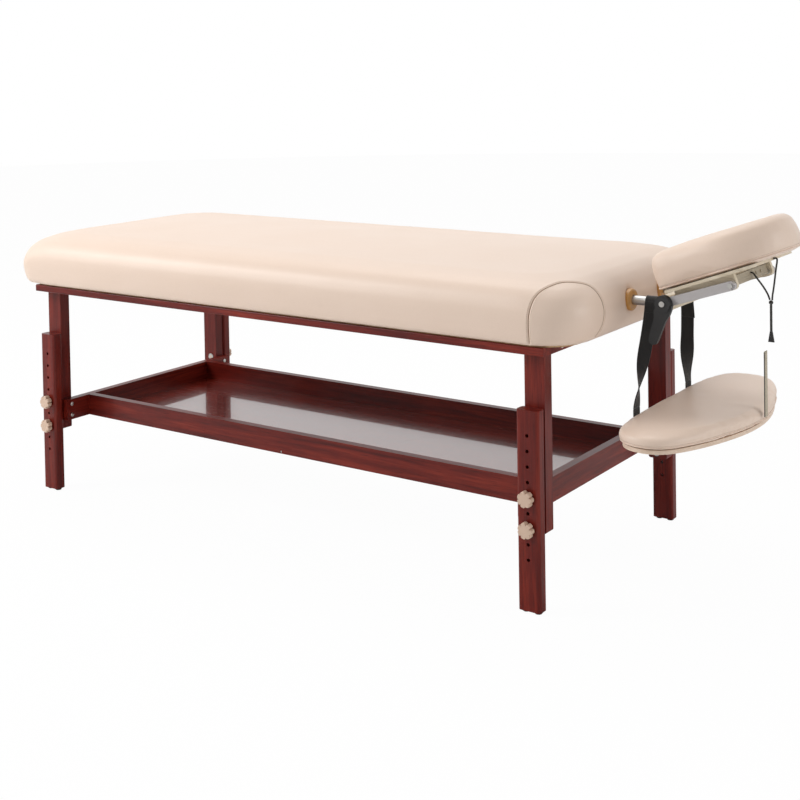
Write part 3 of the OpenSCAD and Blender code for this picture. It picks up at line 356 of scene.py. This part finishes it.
def swell(piece, settings):  # cloth under pressure, its move capped, then applied
    slideShare = 0.6
    rest = [(v.co.copy(), v.normal.copy()) for v in piece.data.vertices]
    moveSkin(piece, lambda spot, out: spot - out * settings["draw"])
    cloth = piece.modifiers.new("filling", "CLOTH")
    cloth.settings.use_pressure, cloth.settings.uniform_pressure_force = True, settings["pressure"]
    cloth.settings.effector_weights.gravity = 0
    cloth.settings.quality = 4
    cloth.settings.tension_stiffness = cloth.settings.compression_stiffness = settings["stiff"]
    cloth.settings.bending_stiffness = settings["bend"]
    cloth.collision_settings.use_collision = False
    cloth.point_cache.frame_start, cloth.point_cache.frame_end = 1, settings["frames"]
    for moment in range(1, settings["frames"] + 1):
        bpy.context.scene.frame_set(moment)
    settle(piece)
    bpy.context.scene.frame_set(1)
    places = []
    for v, (start, way) in zip(piece.data.vertices, rest):
        move = v.co - start
        rise = move.dot(way)
        slide = move - way * rise
        if slide.length > settings["cap"] * slideShare:
            slide *= settings["cap"] * slideShare / slide.length
        places.extend(start + slide + way * min(rise, settings["cap"]))
    piece.data.vertices.foreach_set("co", places)
    piece.data.update()


def moveSkin(piece, rule):  # rule gives a point's new place from its place and its way out
    before = [(v.co.copy(), v.normal.copy()) for v in piece.data.vertices]
    piece.data.vertices.foreach_set("co", [c for spot, out in before for c in rule(spot, out)])
    piece.data.update()


def surfaceOf(piece):
    return BVHTree.FromPolygons([v.co.copy() for v in piece.data.vertices],
                                [tuple(face.vertices) for face in piece.data.polygons])


def sliceLoops(piece, spot, upward, fewest=20):  # closed lines where a plane cuts the piece
    work = bmesh.new()
    work.from_mesh(piece.data)
    whole = work.verts[:] + work.edges[:] + work.faces[:]
    cut = bmesh.ops.bisect_plane(work, geom=whole, plane_co=spot, plane_no=upward)
    edges = [g for g in cut["geom_cut"] if isinstance(g, bmesh.types.BMEdge)]
    near = {}
    for edge in edges:
        for one, other in (edge.verts, reversed(edge.verts)):
            near.setdefault(one, []).append(other)
    loops, seen = [], set()
    for start in near:
        if start in seen or len(near[start]) != 2:
            continue
        line, last, here = [], None, start
        while here not in seen:
            seen.add(here)
            line.append(here.co.copy())
            ahead = [v for v in near[here] if v is not last]
            last, here = here, (ahead or [start])[0]
        if len(line) > fewest:
            loops.append(line)
    work.free()
    return loops


def evenLine(line, step, closed=True):  # the same line with points a step apart
    pts = line + [line[0]] if closed else list(line)
    marks = [0.0]
    for a, b in zip(pts, pts[1:]):
        marks.append(marks[-1] + (b - a).length)
    count = max(8, round(marks[-1] / step))
    found, k = [], 0
    for n in range(count if closed else count + 1):
        want = marks[-1] * n / count
        while k < len(marks) - 2 and marks[k + 1] < want:
            k += 1
        share = (want - marks[k]) / max(1e-9, marks[k + 1] - marks[k])
        found.append(pts[k].lerp(pts[k + 1], min(1, share)))
    return found


def easedLine(line, rounds, closed=True):
    count = len(line)
    for _ in range(rounds):
        line = [line[k] if not closed and k in (0, count - 1) else
                (line[k - 1] + line[k] * 2 + line[(k + 1) % count]) / 4 for k in range(count)]
    return line


def gathered(parts):
    points, faces = [], []
    for spots, sides in parts:
        base = len(points)
        points += spots
        faces += [tuple(base + i for i in side) for side in sides]
    return points, faces


def smoothed(spots, pieces=12):  # a smooth line through a few places
    ends = [spots[0] * 2 - spots[1]] + spots + [spots[-1] * 2 - spots[-2]]
    line = []
    for k in range(1, len(ends) - 2):
        a, b, c, d = ends[k - 1:k + 3]
        for n in range(pieces):
            t = n / pieces
            bend, twist = a * 2 - b * 5 + c * 4 - d, b * 3 - a - c * 3 + d
            line.append((b * 2 + (c - a) * t + bend * t ** 2 + twist * t ** 3) / 2)
    return line + [spots[-1]]


def joined(name, parts, finish):  # several small shapes as one piece
    points, faces = gathered(parts)
    return dressed(blank(name, faces, points), finish)


def stitchRow(line, surface, settings):  # short threads along a line that lies on a surface
    parts, step = [], settings["stitch"] + settings["gap"]
    spots = evenLine(line, step, False)
    for a, b in zip(spots, spots[1:]):
        ahead = b - a
        lifted = []
        for share, rise in ((0.12, -0.7), (0.3, 0.25), (0.5, 0.5), (0.7, 0.25), (0.88, -0.7)):
            hit, out = surface.find_nearest(a + ahead * share)[:2]
            lifted.append(hit + out * settings["thread"] * rise)
        parts.append(tubeShape(lifted, settings["thread"], 5, taper=lambda s: 0.6 + 1.6 * s * (1 - s)))
    return gathered(parts)


def seated(piece, extras, body, nodes):  # a piece with its threads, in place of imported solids
    for extra in extras:
        extra.parent = piece
    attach(piece, body)
    if nodes:
        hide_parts(*nodes)


# Yoke cords: two strands from the head platform to a bead, and a doubled cord with its pull tab
print("yoke cords", round(time.time() - started, 1))
yokeLook = {"outer": [(1234.2, 780.8), (1239, 782.2), (1242.5, 780), (1242.5, 773), (1240.5, 760), (1238.5, 745),
                      (1236, 725), (1233.5, 708), (1231.5, 696), (1230.8, 685.6)],
            "inner": [(1181.2, 744.9), (1185.5, 744.5), (1190, 740), (1197, 731), (1206, 720), (1214, 709),
                      (1220, 699), (1223.5, 691), (1225.2, 685.6)],
            "hanging": [(1228, 674.7), (1228, 654), (1228, 634), (1228, 613.7)], "strand": 0.0044, "doubled": 0.006,
            "step": 0.0025, "core": 0.93, "plies": 6, "plySize": 0.075, "plyOut": 0.455, "lay": 2.2}


def lengthOf(line):
    return sum((b - a).length for a, b in zip(line, line[1:]))


def layCord(name, route, thick, body, nodes, look):
    line = evenLine(smoothed([at(x, 0, z) for x, z in route]), look["step"], False)
    core = tube(name, line, thick / 2 * look["core"], 14, greyCord)
    across, plies = Vector((0, 1, 0)), []
    for turn in range(look["plies"]):  # strands of the braid that stand proud of the core
        spots, way = [], 1 if turn % 2 else -1
        for k, spot in enumerate(line):
            ahead = (line[min(k + 1, len(line) - 1)] - line[max(k - 1, 0)]).normalized()
            upward = ahead.cross(across).normalized()
            angle = math.tau * turn / look["plies"] + way * k * look["step"] / (thick * look["lay"]) * math.tau
            side = across * math.cos(angle) + upward * math.sin(angle)
            spots.append(spot + side * thick * look["plyOut"])
        plies.append(tubeShape(spots, thick * look["plySize"], 5))
    braid = joined(name + "Braid", plies, greyCord)
    seated(core, [braid], body, nodes)
    lengthOf(line)


layCord("yokeStrandInner", yokeLook["inner"], yokeLook["strand"], "platform", [], yokeLook)
layCord("yokeStrandOuter", yokeLook["outer"], yokeLook["strand"], "platform", ["yoke_strands"], yokeLook)
layCord("yokeCordDoubled", yokeLook["hanging"], yokeLook["doubled"], "yoke", ["yoke_cord"], yokeLook)


# Bed cushion
print("bed cushion", round(time.time() - started, 1))
bedLook = {"voxel": 0.0075, "rounds": 10, "cornerRadius": 120, "footRadius": 66, "halfLength": 927, "halfWidth": 393,
           "seamDepth": 0.0016, "seamWide": 0.0042, "seamReach": 0.016, "refined": (0.012, 0.008), "waves": 0.0011,
           "waveLean": 0.35, "still": 0.04, "thread": 0.0009, "seamStep": 0.0015, "aside": 0.0048,
           "stitches": {"stitch": 0.0036, "gap": 0.0012, "thread": 0.0004},
           "patch": [(10, 0, 606), (12, 0, 622), (12, 0, 640), (12.5, 0, 660), (13.5, 2, 680), (17, 7, 698),
                     (23, 16, 714), (34, 27, 727), (51, 41, 736), (72, 52, 740.5), (96, 60, 742.5), (121, 64.5, 743.6),
                     (150, 62, 743), (174, 56, 741.5), (193, 46, 737.5), (208, 34, 731), (218, 22, 721), (225, 12, 706),
                     (230, 5, 690), (231, 1, 672), (230, 0, 654), (226, 0, 636), (218, 0, 620), (208, 0, 606)]}


def cornerMiddle(look):
    return look["halfLength"] - look["cornerRadius"], look["halfWidth"] - look["cornerRadius"]


def cornerSpot(reach, look):  # distance along the side from the corner's start, to a place and the way out
    r, (x, y) = look["cornerRadius"], cornerMiddle(look)
    arc = r * math.pi / 2
    if reach < 0:
        return Vector((x + reach, -y - r)), Vector((0, -1))
    if reach > arc:
        return Vector((x + r, -y + reach - arc)), Vector((1, 0))
    turn = reach / r
    out = Vector((math.sin(turn), -math.cos(turn)))
    return Vector((x, -y)) + out * r, out


def squarer(spot, look):  # the foot end's corners are turned on a smaller radius
    x, y = (length / 1000 for length in cornerMiddle(look))
    away = Vector((-(spot.x + tableMiddle / 1000) - x, abs(spot.y) - y))
    if away.x <= 0 or away.y <= 0 or away.length < 1e-6:
        return spot
    wide, small = look["cornerRadius"] / 1000, look["footRadius"] / 1000
    way = away.normalized()
    inner = wide - small  # the smaller arc's middle, from the wide one's
    lean = inner * (way.x + way.y)
    reach = lean + math.sqrt(max(0, lean * lean - 2 * inner * inner + small * small))
    if wide * min(way.x, way.y) / max(way.x, way.y) < inner:  # on a straight part, beside the arc
        reach = wide / max(way.x, way.y)
    grown = away * (1 + (reach / wide - 1) * min(1, away.length / wide) ** 1.5)
    return Vector((-(x + grown.x) - tableMiddle / 1000, math.copysign(y + grown.y, spot.y), spot.z))


def patchSeam(surface, look, side):  # the seam round a head end corner's patch
    line = []
    for reach, inset, z in look["patch"]:
        spot, out = cornerSpot(reach, look)
        spot -= out * inset
        line.append(at(spot.x, spot.y * side, z))
    line = easedLine(evenLine(smoothed(line), 0.004, False), 6, False)
    return [surface.find_nearest(spot)[0] for spot in line]


def seamTree(lines, step):
    spots = [p for line in lines for p in evenLine(line, step, False)]
    tree = KDTree(len(spots))
    for k, spot in enumerate(spots):
        tree.insert(spot, k)
    tree.balance()
    return tree


def sinkSeams(piece, seams, look):  # a groove with a low swelling on each side
    work = bmesh.new()
    work.from_mesh(piece.data)
    tree = seamTree(seams, look["seamStep"])
    for width in look["refined"]:
        near = [edge for edge in work.edges
                if tree.find(sum((v.co for v in edge.verts), Vector()) / 2)[2] < width]
        bmesh.ops.subdivide_edges(work, edges=near, cuts=1, use_grid_fill=True)
    work.normal_update()
    wide = look["seamWide"]
    for v in work.verts:
        gap = tree.find(v.co)[2]
        if gap < look["seamReach"]:
            groove = math.exp(-(gap / wide * 2.2) ** 2) * look["seamDepth"]
            swelling = math.exp(-((gap - wide * 1.5) / wide) ** 2) * look["seamDepth"] * 0.35
            v.co += v.normal * (swelling - groove)
    work.to_mesh(piece.data)
    work.free()


def seamRow(seam, surface, look, side):  # stitches beside a seam
    row = []
    for k, spot in enumerate(seam[2:-2], 2):
        ahead = (seam[k + 1] - seam[k - 1]).normalized()
        out = surface.find_nearest(spot)[1]
        row.append(spot + ahead.cross(out).normalized() * look["aside"] * side)
    return stitchRow(row, surface, look["stitches"])


# a dark vinyl-toned tube sunk in each seam's groove: painted shade of the groove
def seamShadeTube(seam, surface, look):
    sunk = []
    for spot in seam:
        hit, out = surface.find_nearest(spot)[:2]
        sunk.append(hit + out * look["thread"] * 0.15)
    return tubeShape(easedLine(sunk, 2, False), look["thread"], 6)


def makeBedCushion(look):
    piece = skinOf("bedCushionSkin", "bed_cushion", look["voxel"], look["rounds"])
    low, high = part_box("bed_cushion")

    def wave(spot, out):
        soft = min(1, max(0, ((spot.z - low[2]) / (high[2] - low[2]) - look["still"]) * 6))
        drift = noise.noise(spot * 3.1) + 0.5 * noise.noise(spot * 9 + Vector((3, 1, 7)))
        return squarer(spot + out * (drift - look["waveLean"]) * look["waves"] * soft, look)

    moveSkin(piece, wave)
    surface = surfaceOf(piece)
    seams = [patchSeam(surface, look, side) for side in (1, -1)]
    sinkSeams(piece, seams, look)
    dressed(piece, vinyl)
    surface = surfaceOf(piece)
    # dark seam tubes: painted shade in the grooves
    line = joined("bedCushionSeamShade", [seamShadeTube(seam, surface, look) for seam in seams], seamShade)
    rows = [seamRow(seam, surface, look, side) for seam in seams for side in (-1, 1)]
    stitches = joined("bedCushionStitches", rows, creamThread)
    seated(piece, [line, stitches], "frame", ["bed_cushion"])


makeBedCushion(bedLook)


# Head cushion and arm shelf pad
print("head cushion", round(time.time() - started, 1))
headLook = {"voxel": 0.0045, "rounds": 8, "draw": 0.003, "pressure": 4, "stiff": 14, "bend": 1.5, "frames": 18,
            "cap": 0.006, "pipingHigh": 0.0075, "piping": 0.0019, "seamHigh": 0.012, "waves": 0.0007,
            "afterFilling": 3, "lineStep": 0.004, "spare": 0.006, "lift": 0.0006,
            "stitches": {"stitch": 0.0034, "gap": 0.0014, "thread": 0.00035}}
padLook = {**headLook, "rounds": 10, "draw": 0.002, "pressure": 3, "stiff": 16, "bend": 2, "frames": 16,
           "cap": 0.003, "pipingHigh": 0.006, "piping": 0.0015, "seamHigh": 0.010, "waves": 0.0006}
tilt = math.radians(20)  # the platform's slope at rest
platformPivot = (1183.05, 732.88)


def onPlatform(x, y, z):  # millimetres along, across and above the platform's pivot
    return at(platformPivot[0] + x * math.cos(tilt) - z * math.sin(tilt), y,
              platformPivot[1] + x * math.sin(tilt) + z * math.cos(tilt))


def uneven(spot, out, look):  # broad unevenness of a stuffed cover
    drift = noise.noise(spot * 11) + 0.5 * noise.noise(spot * 29 + Vector((5, 2, 8)))
    return spot + out * drift * look["waves"]


def heldIn(spot, low, high, spare):
    return Vector([min(high[k] + spare, max(low[k] - spare, spot[k])) for k in range(3)])


def makePad(name, node, body, look, foot, upward):
    piece = skinOf(name, node, look["voxel"], look["rounds"])
    swell(piece, look)
    soften(piece, look["afterFilling"])
    low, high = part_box(node)

    def laid(spot, out):  # flat underside where it lies on its board
        spot = heldIn(uneven(spot, out, look), low, high, look["spare"])
        return spot + upward * max(0, look["lift"] - (spot - foot).dot(upward))

    moveSkin(piece, laid)
    surface = surfaceOf(piece)
    cords, rows = [], []
    for line in sliceLoops(piece, foot + upward * look["pipingHigh"], upward):
        rested = [surface.find_nearest(p)[:2] for p in easedLine(evenLine(line, look["lineStep"]), 6)]
        laidCord = [hit + out * look["piping"] * 0.45 for hit, out in rested]
        cords.append(tubeShape(laidCord, look["piping"], 10, True))
    for line in sliceLoops(piece, foot + upward * look["seamHigh"], upward):
        line = easedLine(evenLine(line, look["lineStep"]), 6)
        rows.append(stitchRow(line + [line[0]], surface, look["stitches"]))
    piping = joined(name + "Piping", cords, vinyl)
    stitches = joined(name + "Stitches", rows, creamThread)
    seated(piece, [piping, stitches], body, [node])


slope = Vector((-math.sin(tilt), 0, math.cos(tilt)))
makePad("headCushionSkin", "head_cushion", "platform", headLook, onPlatform(0, 0, 31), slope)
print("arm shelf pad", round(time.time() - started, 1))
makePad("shelfPadSkin", "shelf_pad", "arm_shelf", padLook, at(1089, 0, 401), Vector((0, 0, 1)))


# Webbing straps
print("straps", round(time.time() - started, 1))
webLook = {"wide": 33, "thick": 2.5, "post": (981.5, 88, 673), "mid": 12.55, "foot": (963.45, 149, 436), "clear": 0.2,
           "twistFrom": 0.45, "tailFrom": 15, "tail": 72, "tailGap": 0.05, "curl": 0.9, "rowOut": 4.5, "rowLean": 0.16,
           "rowsAlong": (-12, 12), "boxed": (20, 62), "rowsAcross": (22, 60),
           "stitches": {"stitch": 0.0032, "gap": 0.001, "thread": 0.00045}}


def bandShape(stations, wide, thick):  # a flat woven strap: centre, way across, way out
    w, t = wide / 2000, thick / 2000
    half = [(-1, 0), (-0.985, -0.7), (-0.94, -1), (-0.84, -0.8), (-0.4, -0.84), (0, -0.86),
            (0.4, -0.84), (0.84, -0.8), (0.94, -1), (0.985, -0.7)]
    outline = [(x * w, z * t) for x, z in half] + [(-x * w, -z * t) for x, z in half]
    sides, points, faces = len(outline), [], []
    for spot, across, out in stations:
        across, out = across.normalized(), out.normalized()
        points += [spot + across * x + out * z for x, z in outline]
    for k in range(len(stations) - 1):
        for n in range(sides):
            a, b = k * sides + n, k * sides + (n + 1) % sides
            faces.append((a, b, b + sides, a + sides))
    faces.append(tuple(range(sides))[::-1])
    faces.append(tuple(range((len(stations) - 1) * sides, len(stations) * sides)))
    return points, faces


def eased(share):
    return share * share * (3 - 2 * share)


def makeStrap(side, name, node, look):
    px, py, pz = look["post"]
    footX, footY, footZ = look["foot"]
    outer, top = py + look["mid"], pz + look["thick"]  # where the fall leaves the loop
    loop, fall, tail = [], [], []
    for k in range(49):  # round the post
        turn = math.tau * k / 48
        out = Vector((0, math.cos(turn) * side, math.sin(turn)))
        loop.append((at(px, py * side, pz) + out * look["mid"] / 1000, Vector((1, 0, 0)), out))
    for k in range(70):  # down to the arm shelf, with its quarter twist
        s = k / 69
        late = min(1, max(0, (s - look["twistFrom"]) / (1 - look["twistFrom"])))
        turn = math.pi / 2 * eased(late)
        spot = at(px + (footX - px) * eased(s), (outer + (footY - outer) * s) * side,
                  top - (top - footZ) * s + look["clear"])
        fall.append((spot, Vector((math.cos(turn), math.sin(turn) * side, 0)),
                     Vector((-math.sin(turn), math.cos(turn) * side, 0))))
    for k in range(24):  # the stitched end that lies inside the fall
        drop = look["tailFrom"] + (look["tail"] - look["tailFrom"]) * k / 23
        y = outer + (footY - outer) * drop / (top - footZ) - look["thick"] - look["tailGap"]
        curl = look["curl"] * (k / 23) ** 2
        tail.append((at(px, (y - curl) * side, top - drop), Vector((1, 0, 0)), Vector((0, side, 0))))
    parts = [bandShape(stations, look["wide"], look["thick"]) for stations in (loop, fall, tail)]
    piece = joined(name, parts, blackWeb)
    surface = surfaceOf(piece)

    def onFace(x, drop):
        return at(px + x, (outer + look["rowOut"] + drop * look["rowLean"]) * side, pz - drop)

    low, high = look["boxed"]
    lines = [[onFace(x, drop) for drop in (low, (low + high) / 2, high)] for x in look["rowsAlong"]]
    lines += [[onFace(x, drop) for x in (-12, 0, 12)] for drop in look["rowsAcross"]]
    rows = [stitchRow(line, surface, look["stitches"]) for line in lines]
    seated(piece, [joined(name + "Stitches", rows, blackThread)], "cradle", [node])


makeStrap(-1, "frontStrapWeb", "front_strap", webLook)
makeStrap(1, "rearStrapWeb", "rear_strap", webLook)

shelfWebLook = {"route": [(963.45, 435.2), (963.45, 425), (963.45, 412), (963.45, 400), (963.5, 396), (964.2, 393.3),
                          (965.7, 391.4), (968, 390.8), (975, 390.75), (990, 390.75), (1008, 390.75)],
                "across": 149, "board": 390, "staples": ((984, -9), (984, 9), (999, 0)), "reach": 4, "proud": 0.8,
                "wire": 0.0005}


def makeShelfWebbing(look, strap):
    parts, line = [], look["route"]
    for side in (-1, 1):
        y = look["across"] * side
        stations = []
        for k, (x, z) in enumerate(line):
            a, b = line[max(0, k - 1)], line[min(len(line) - 1, k + 1)]
            ahead = Vector((b[0] - a[0], 0, b[1] - a[1])).normalized()
            stations.append((at(x, y, z), Vector((0, 1, 0)), ahead.cross(Vector((0, 1, 0)))))
        parts.append(bandShape(stations, strap["wide"], strap["thick"]))
        for x, gap in look["staples"]:  # that hold it to the board
            bends = [(-1, 0), (-1, 1), (1, 1), (1, 0)]
            ends = [at(x, y + gap + look["reach"] * way, look["board"] - look["proud"] * out) for way, out in bends]
            parts.append(tubeShape(ends, look["wire"], 6))
    seated(joined("shelfWebbingBands", parts, blackWeb), [], "arm_shelf", ["shelf_webbing"])


outerStrapLook = {"x": 1214.55, "top": 568, "foot": 417, "wide": 16, "thick": 2.3, "hem": 18, "hemX": 1213.1,
                  "hemWide": 15.4, "hemThick": 1.2, "edge": (1214.1, -7.8), "darkLine": 0.0012, "threadX": 1216,
                  "rows": (-5.6, 5.6), "stitches": {"stitch": 0.003, "gap": 0.0012, "thread": 0.0004}}


def makeOuterStrap(look):
    top, foot = look["top"], look["foot"]

    def upright(x, heights, wide, thick):
        return bandShape([(at(x, 0, z), Vector((0, 1, 0)), Vector((1, 0, 0))) for z in heights], wide, thick)

    heights = [foot + 0.3 + (top - foot - 0.6) * k / 39 for k in range(40)]
    tape = upright(look["x"], heights, look["wide"], look["thick"])
    hem = upright(look["hemX"], range(top - look["hem"], top, 2), look["hemWide"], look["hemThick"])
    piece = joined("outerStrapTape", [tape, hem], creamWeb)
    # a thin dark grey tube laid along the tape's edge
    line = [at(*look["edge"], foot + 1 + (top - foot - 4) * k / 30) for k in range(31)]
    darkLine = tube("outerStrapDarkLine", line, look["darkLine"], 8, greyCord)
    surface = surfaceOf(piece)
    rows = [stitchRow([at(look["threadX"], y, foot + 4), at(look["threadX"], y, top - 3)], surface, look["stitches"])
            for y in look["rows"]]
    threads = joined("outerStrapStitches", rows, creamThread)
    seated(piece, [darkLine, threads], "outer_strap", ["outer_strap"])


makeShelfWebbing(shelfWebLook, webLook)
makeOuterStrap(outerStrapLook)


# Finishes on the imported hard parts
print("hard parts", round(time.time() - started, 1))
corners = [f"{side}_{end}" for side in ("front", "back") for end in ("foot", "head")]
hardFinishes = [
    (redWood[0], ["base_rail_front", "base_rail_back", "tray_rail_front", "tray_rail_back"]),
    (redWood[1], ["base_cross_rails", "tray_rail_foot", "tray_rail_head"]),
    (redWood[2], [f"{part}_{corner}" for part in ("post", "lower_leg") for corner in corners]),
    (trayWood, ["tray_panel"]),
    (bareWood, ["deck_board", "socket_block"]),
    (paleBoard, ["shelf_board"]),
    (knobPlastic, [f"knob_{corner}_{level}" for corner in corners for level in ("upper", "lower")]),
    (studPlastic, ["rail_stud"]),
    (zincSteel, ["leg_nuts", "rail_bolts", "tray_screws", "cradle_posts", "lift_rod", "tilt_bolts"]),
    (greyRubber, [f"glides_{corner}" for corner in corners]),
    (tanPlastic, ["grommets"]),
    (greyPaint, ["arm_front", "arm_back"]),
    (creamPaint, ["platform_panel", "bracket_front", "bracket_back", "cradle_crossbar", "cradle_knuckles"]),
    (shadedCreamPaint, ["tilt_crossbar"]),
    (blackPlastic, ["cam_lever", "yoke_tab"]),
    (greyCord, ["yoke_bead"])]
for finish, nodes in hardFinishes:
    for node in nodes:
        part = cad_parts[node]
        if not part.data.materials:
            part.data.materials.append(finish)
        for slot in part.material_slots:
            slot.material = finish


# Floor and light
print("floor and light", round(time.time() - started, 1))
studioLook = {"floor": (246, 246, 246), "floorDrift": 4, "reach": 14, "rings": 10, "sides": 64, "floorWhite": 0.975,
              "keySpot": (-3.3, -2.9, 3.0), "keyPower": 128, "keySize": 1.8,
              "topSpot": (-0.6, 0.9, 4.2), "topPower": 66, "topSize": 3.0,
              "sideSpot": (4.4, 0.6, 1.5), "sidePower": 34, "sideSize": 1.8,
              "aim": (0.1, 0, 0.5), "around": 0.42, "sky": (1, 0.985, 0.97, 1)}
white = (1, 1, 1, 1)


def makeFloor(look):
    sides, rings = look["sides"], look["rings"]
    points, faces = [Vector((0, 0, 0))], [(0, 1 + n, 1 + (n + 1) % sides) for n in range(sides)]
    for k in range(1, rings + 1):
        r = look["reach"] * (k / rings) ** 1.5
        points += [Vector((r * math.cos(math.tau * n / sides), r * math.sin(math.tau * n / sides), 0))
                   for n in range(sides)]
    for k in range(rings - 1):
        a = 1 + k * sides
        for n in range(sides):
            b = (n + 1) % sides
            faces.append((a + n, a + sides + n, a + sides + b, a + b))
    f = Finish("paleFloor", {"Specular IOR Level": 0.15, "Roughness": 0.8})
    haze = f.cloud(f.place(1, 1, 1), 2.0, 0.5, 0.7)
    f.give(colour=f.mix(tone(*look["floor"]), tone(*[c - look["floorDrift"] for c in look["floor"]]), haze))
    seen = f.node("LightPath", {}, {}, "Is Camera Ray")
    glow = f.node("Emission", {}, {"Color": white, "Strength": 1.0})
    blend = f.node("MixShader", {}, {0: seen * look["floorWhite"], 1: Signal(f, f.shader.outputs[0]), 2: glow})
    f.feed(f.output.inputs[0], blend)
    dressed(blank("paleFloor", faces, points), f.material)


def lightStudio(look):  # soft light all round, and plain white where it is seen or mirrored
    world = bpy.data.worlds.new("studio")
    bpy.context.scene.world = world
    world.use_nodes = True
    sky = Graph(world.node_tree)
    camera, through, mirrored = (sky.node("LightPath", {}, {}, f"Is {kind} Ray")
                                 for kind in ("Camera", "Transmission", "Glossy"))
    seen = camera.sum("MAXIMUM", camera, through.sum("MAXIMUM", through, mirrored))
    soft = sky.node("Background", {}, {0: look["sky"], 1: look["around"]})
    plain = sky.node("Background", {}, {0: white, 1: 1})
    sky.show("OutputWorld", sky.node("MixShader", {}, {0: seen, 1: soft, 2: plain}))
    for name in ("key", "top", "side"):
        lamp = bpy.data.lights.new(name, "AREA")
        lamp.energy, lamp.size = look[name + "Power"], look[name + "Size"]
        body = bpy.data.objects.new(name, lamp)
        bpy.context.scene.collection.objects.link(body)
        body.location = Vector(look[name + "Spot"])
        body.rotation_euler = (Vector(look["aim"]) - body.location).to_track_quat("-Z", "Y").to_euler()


makeFloor(studioLook)
lightStudio(studioLook)
bpy.context.scene.view_settings.view_transform = "Standard"
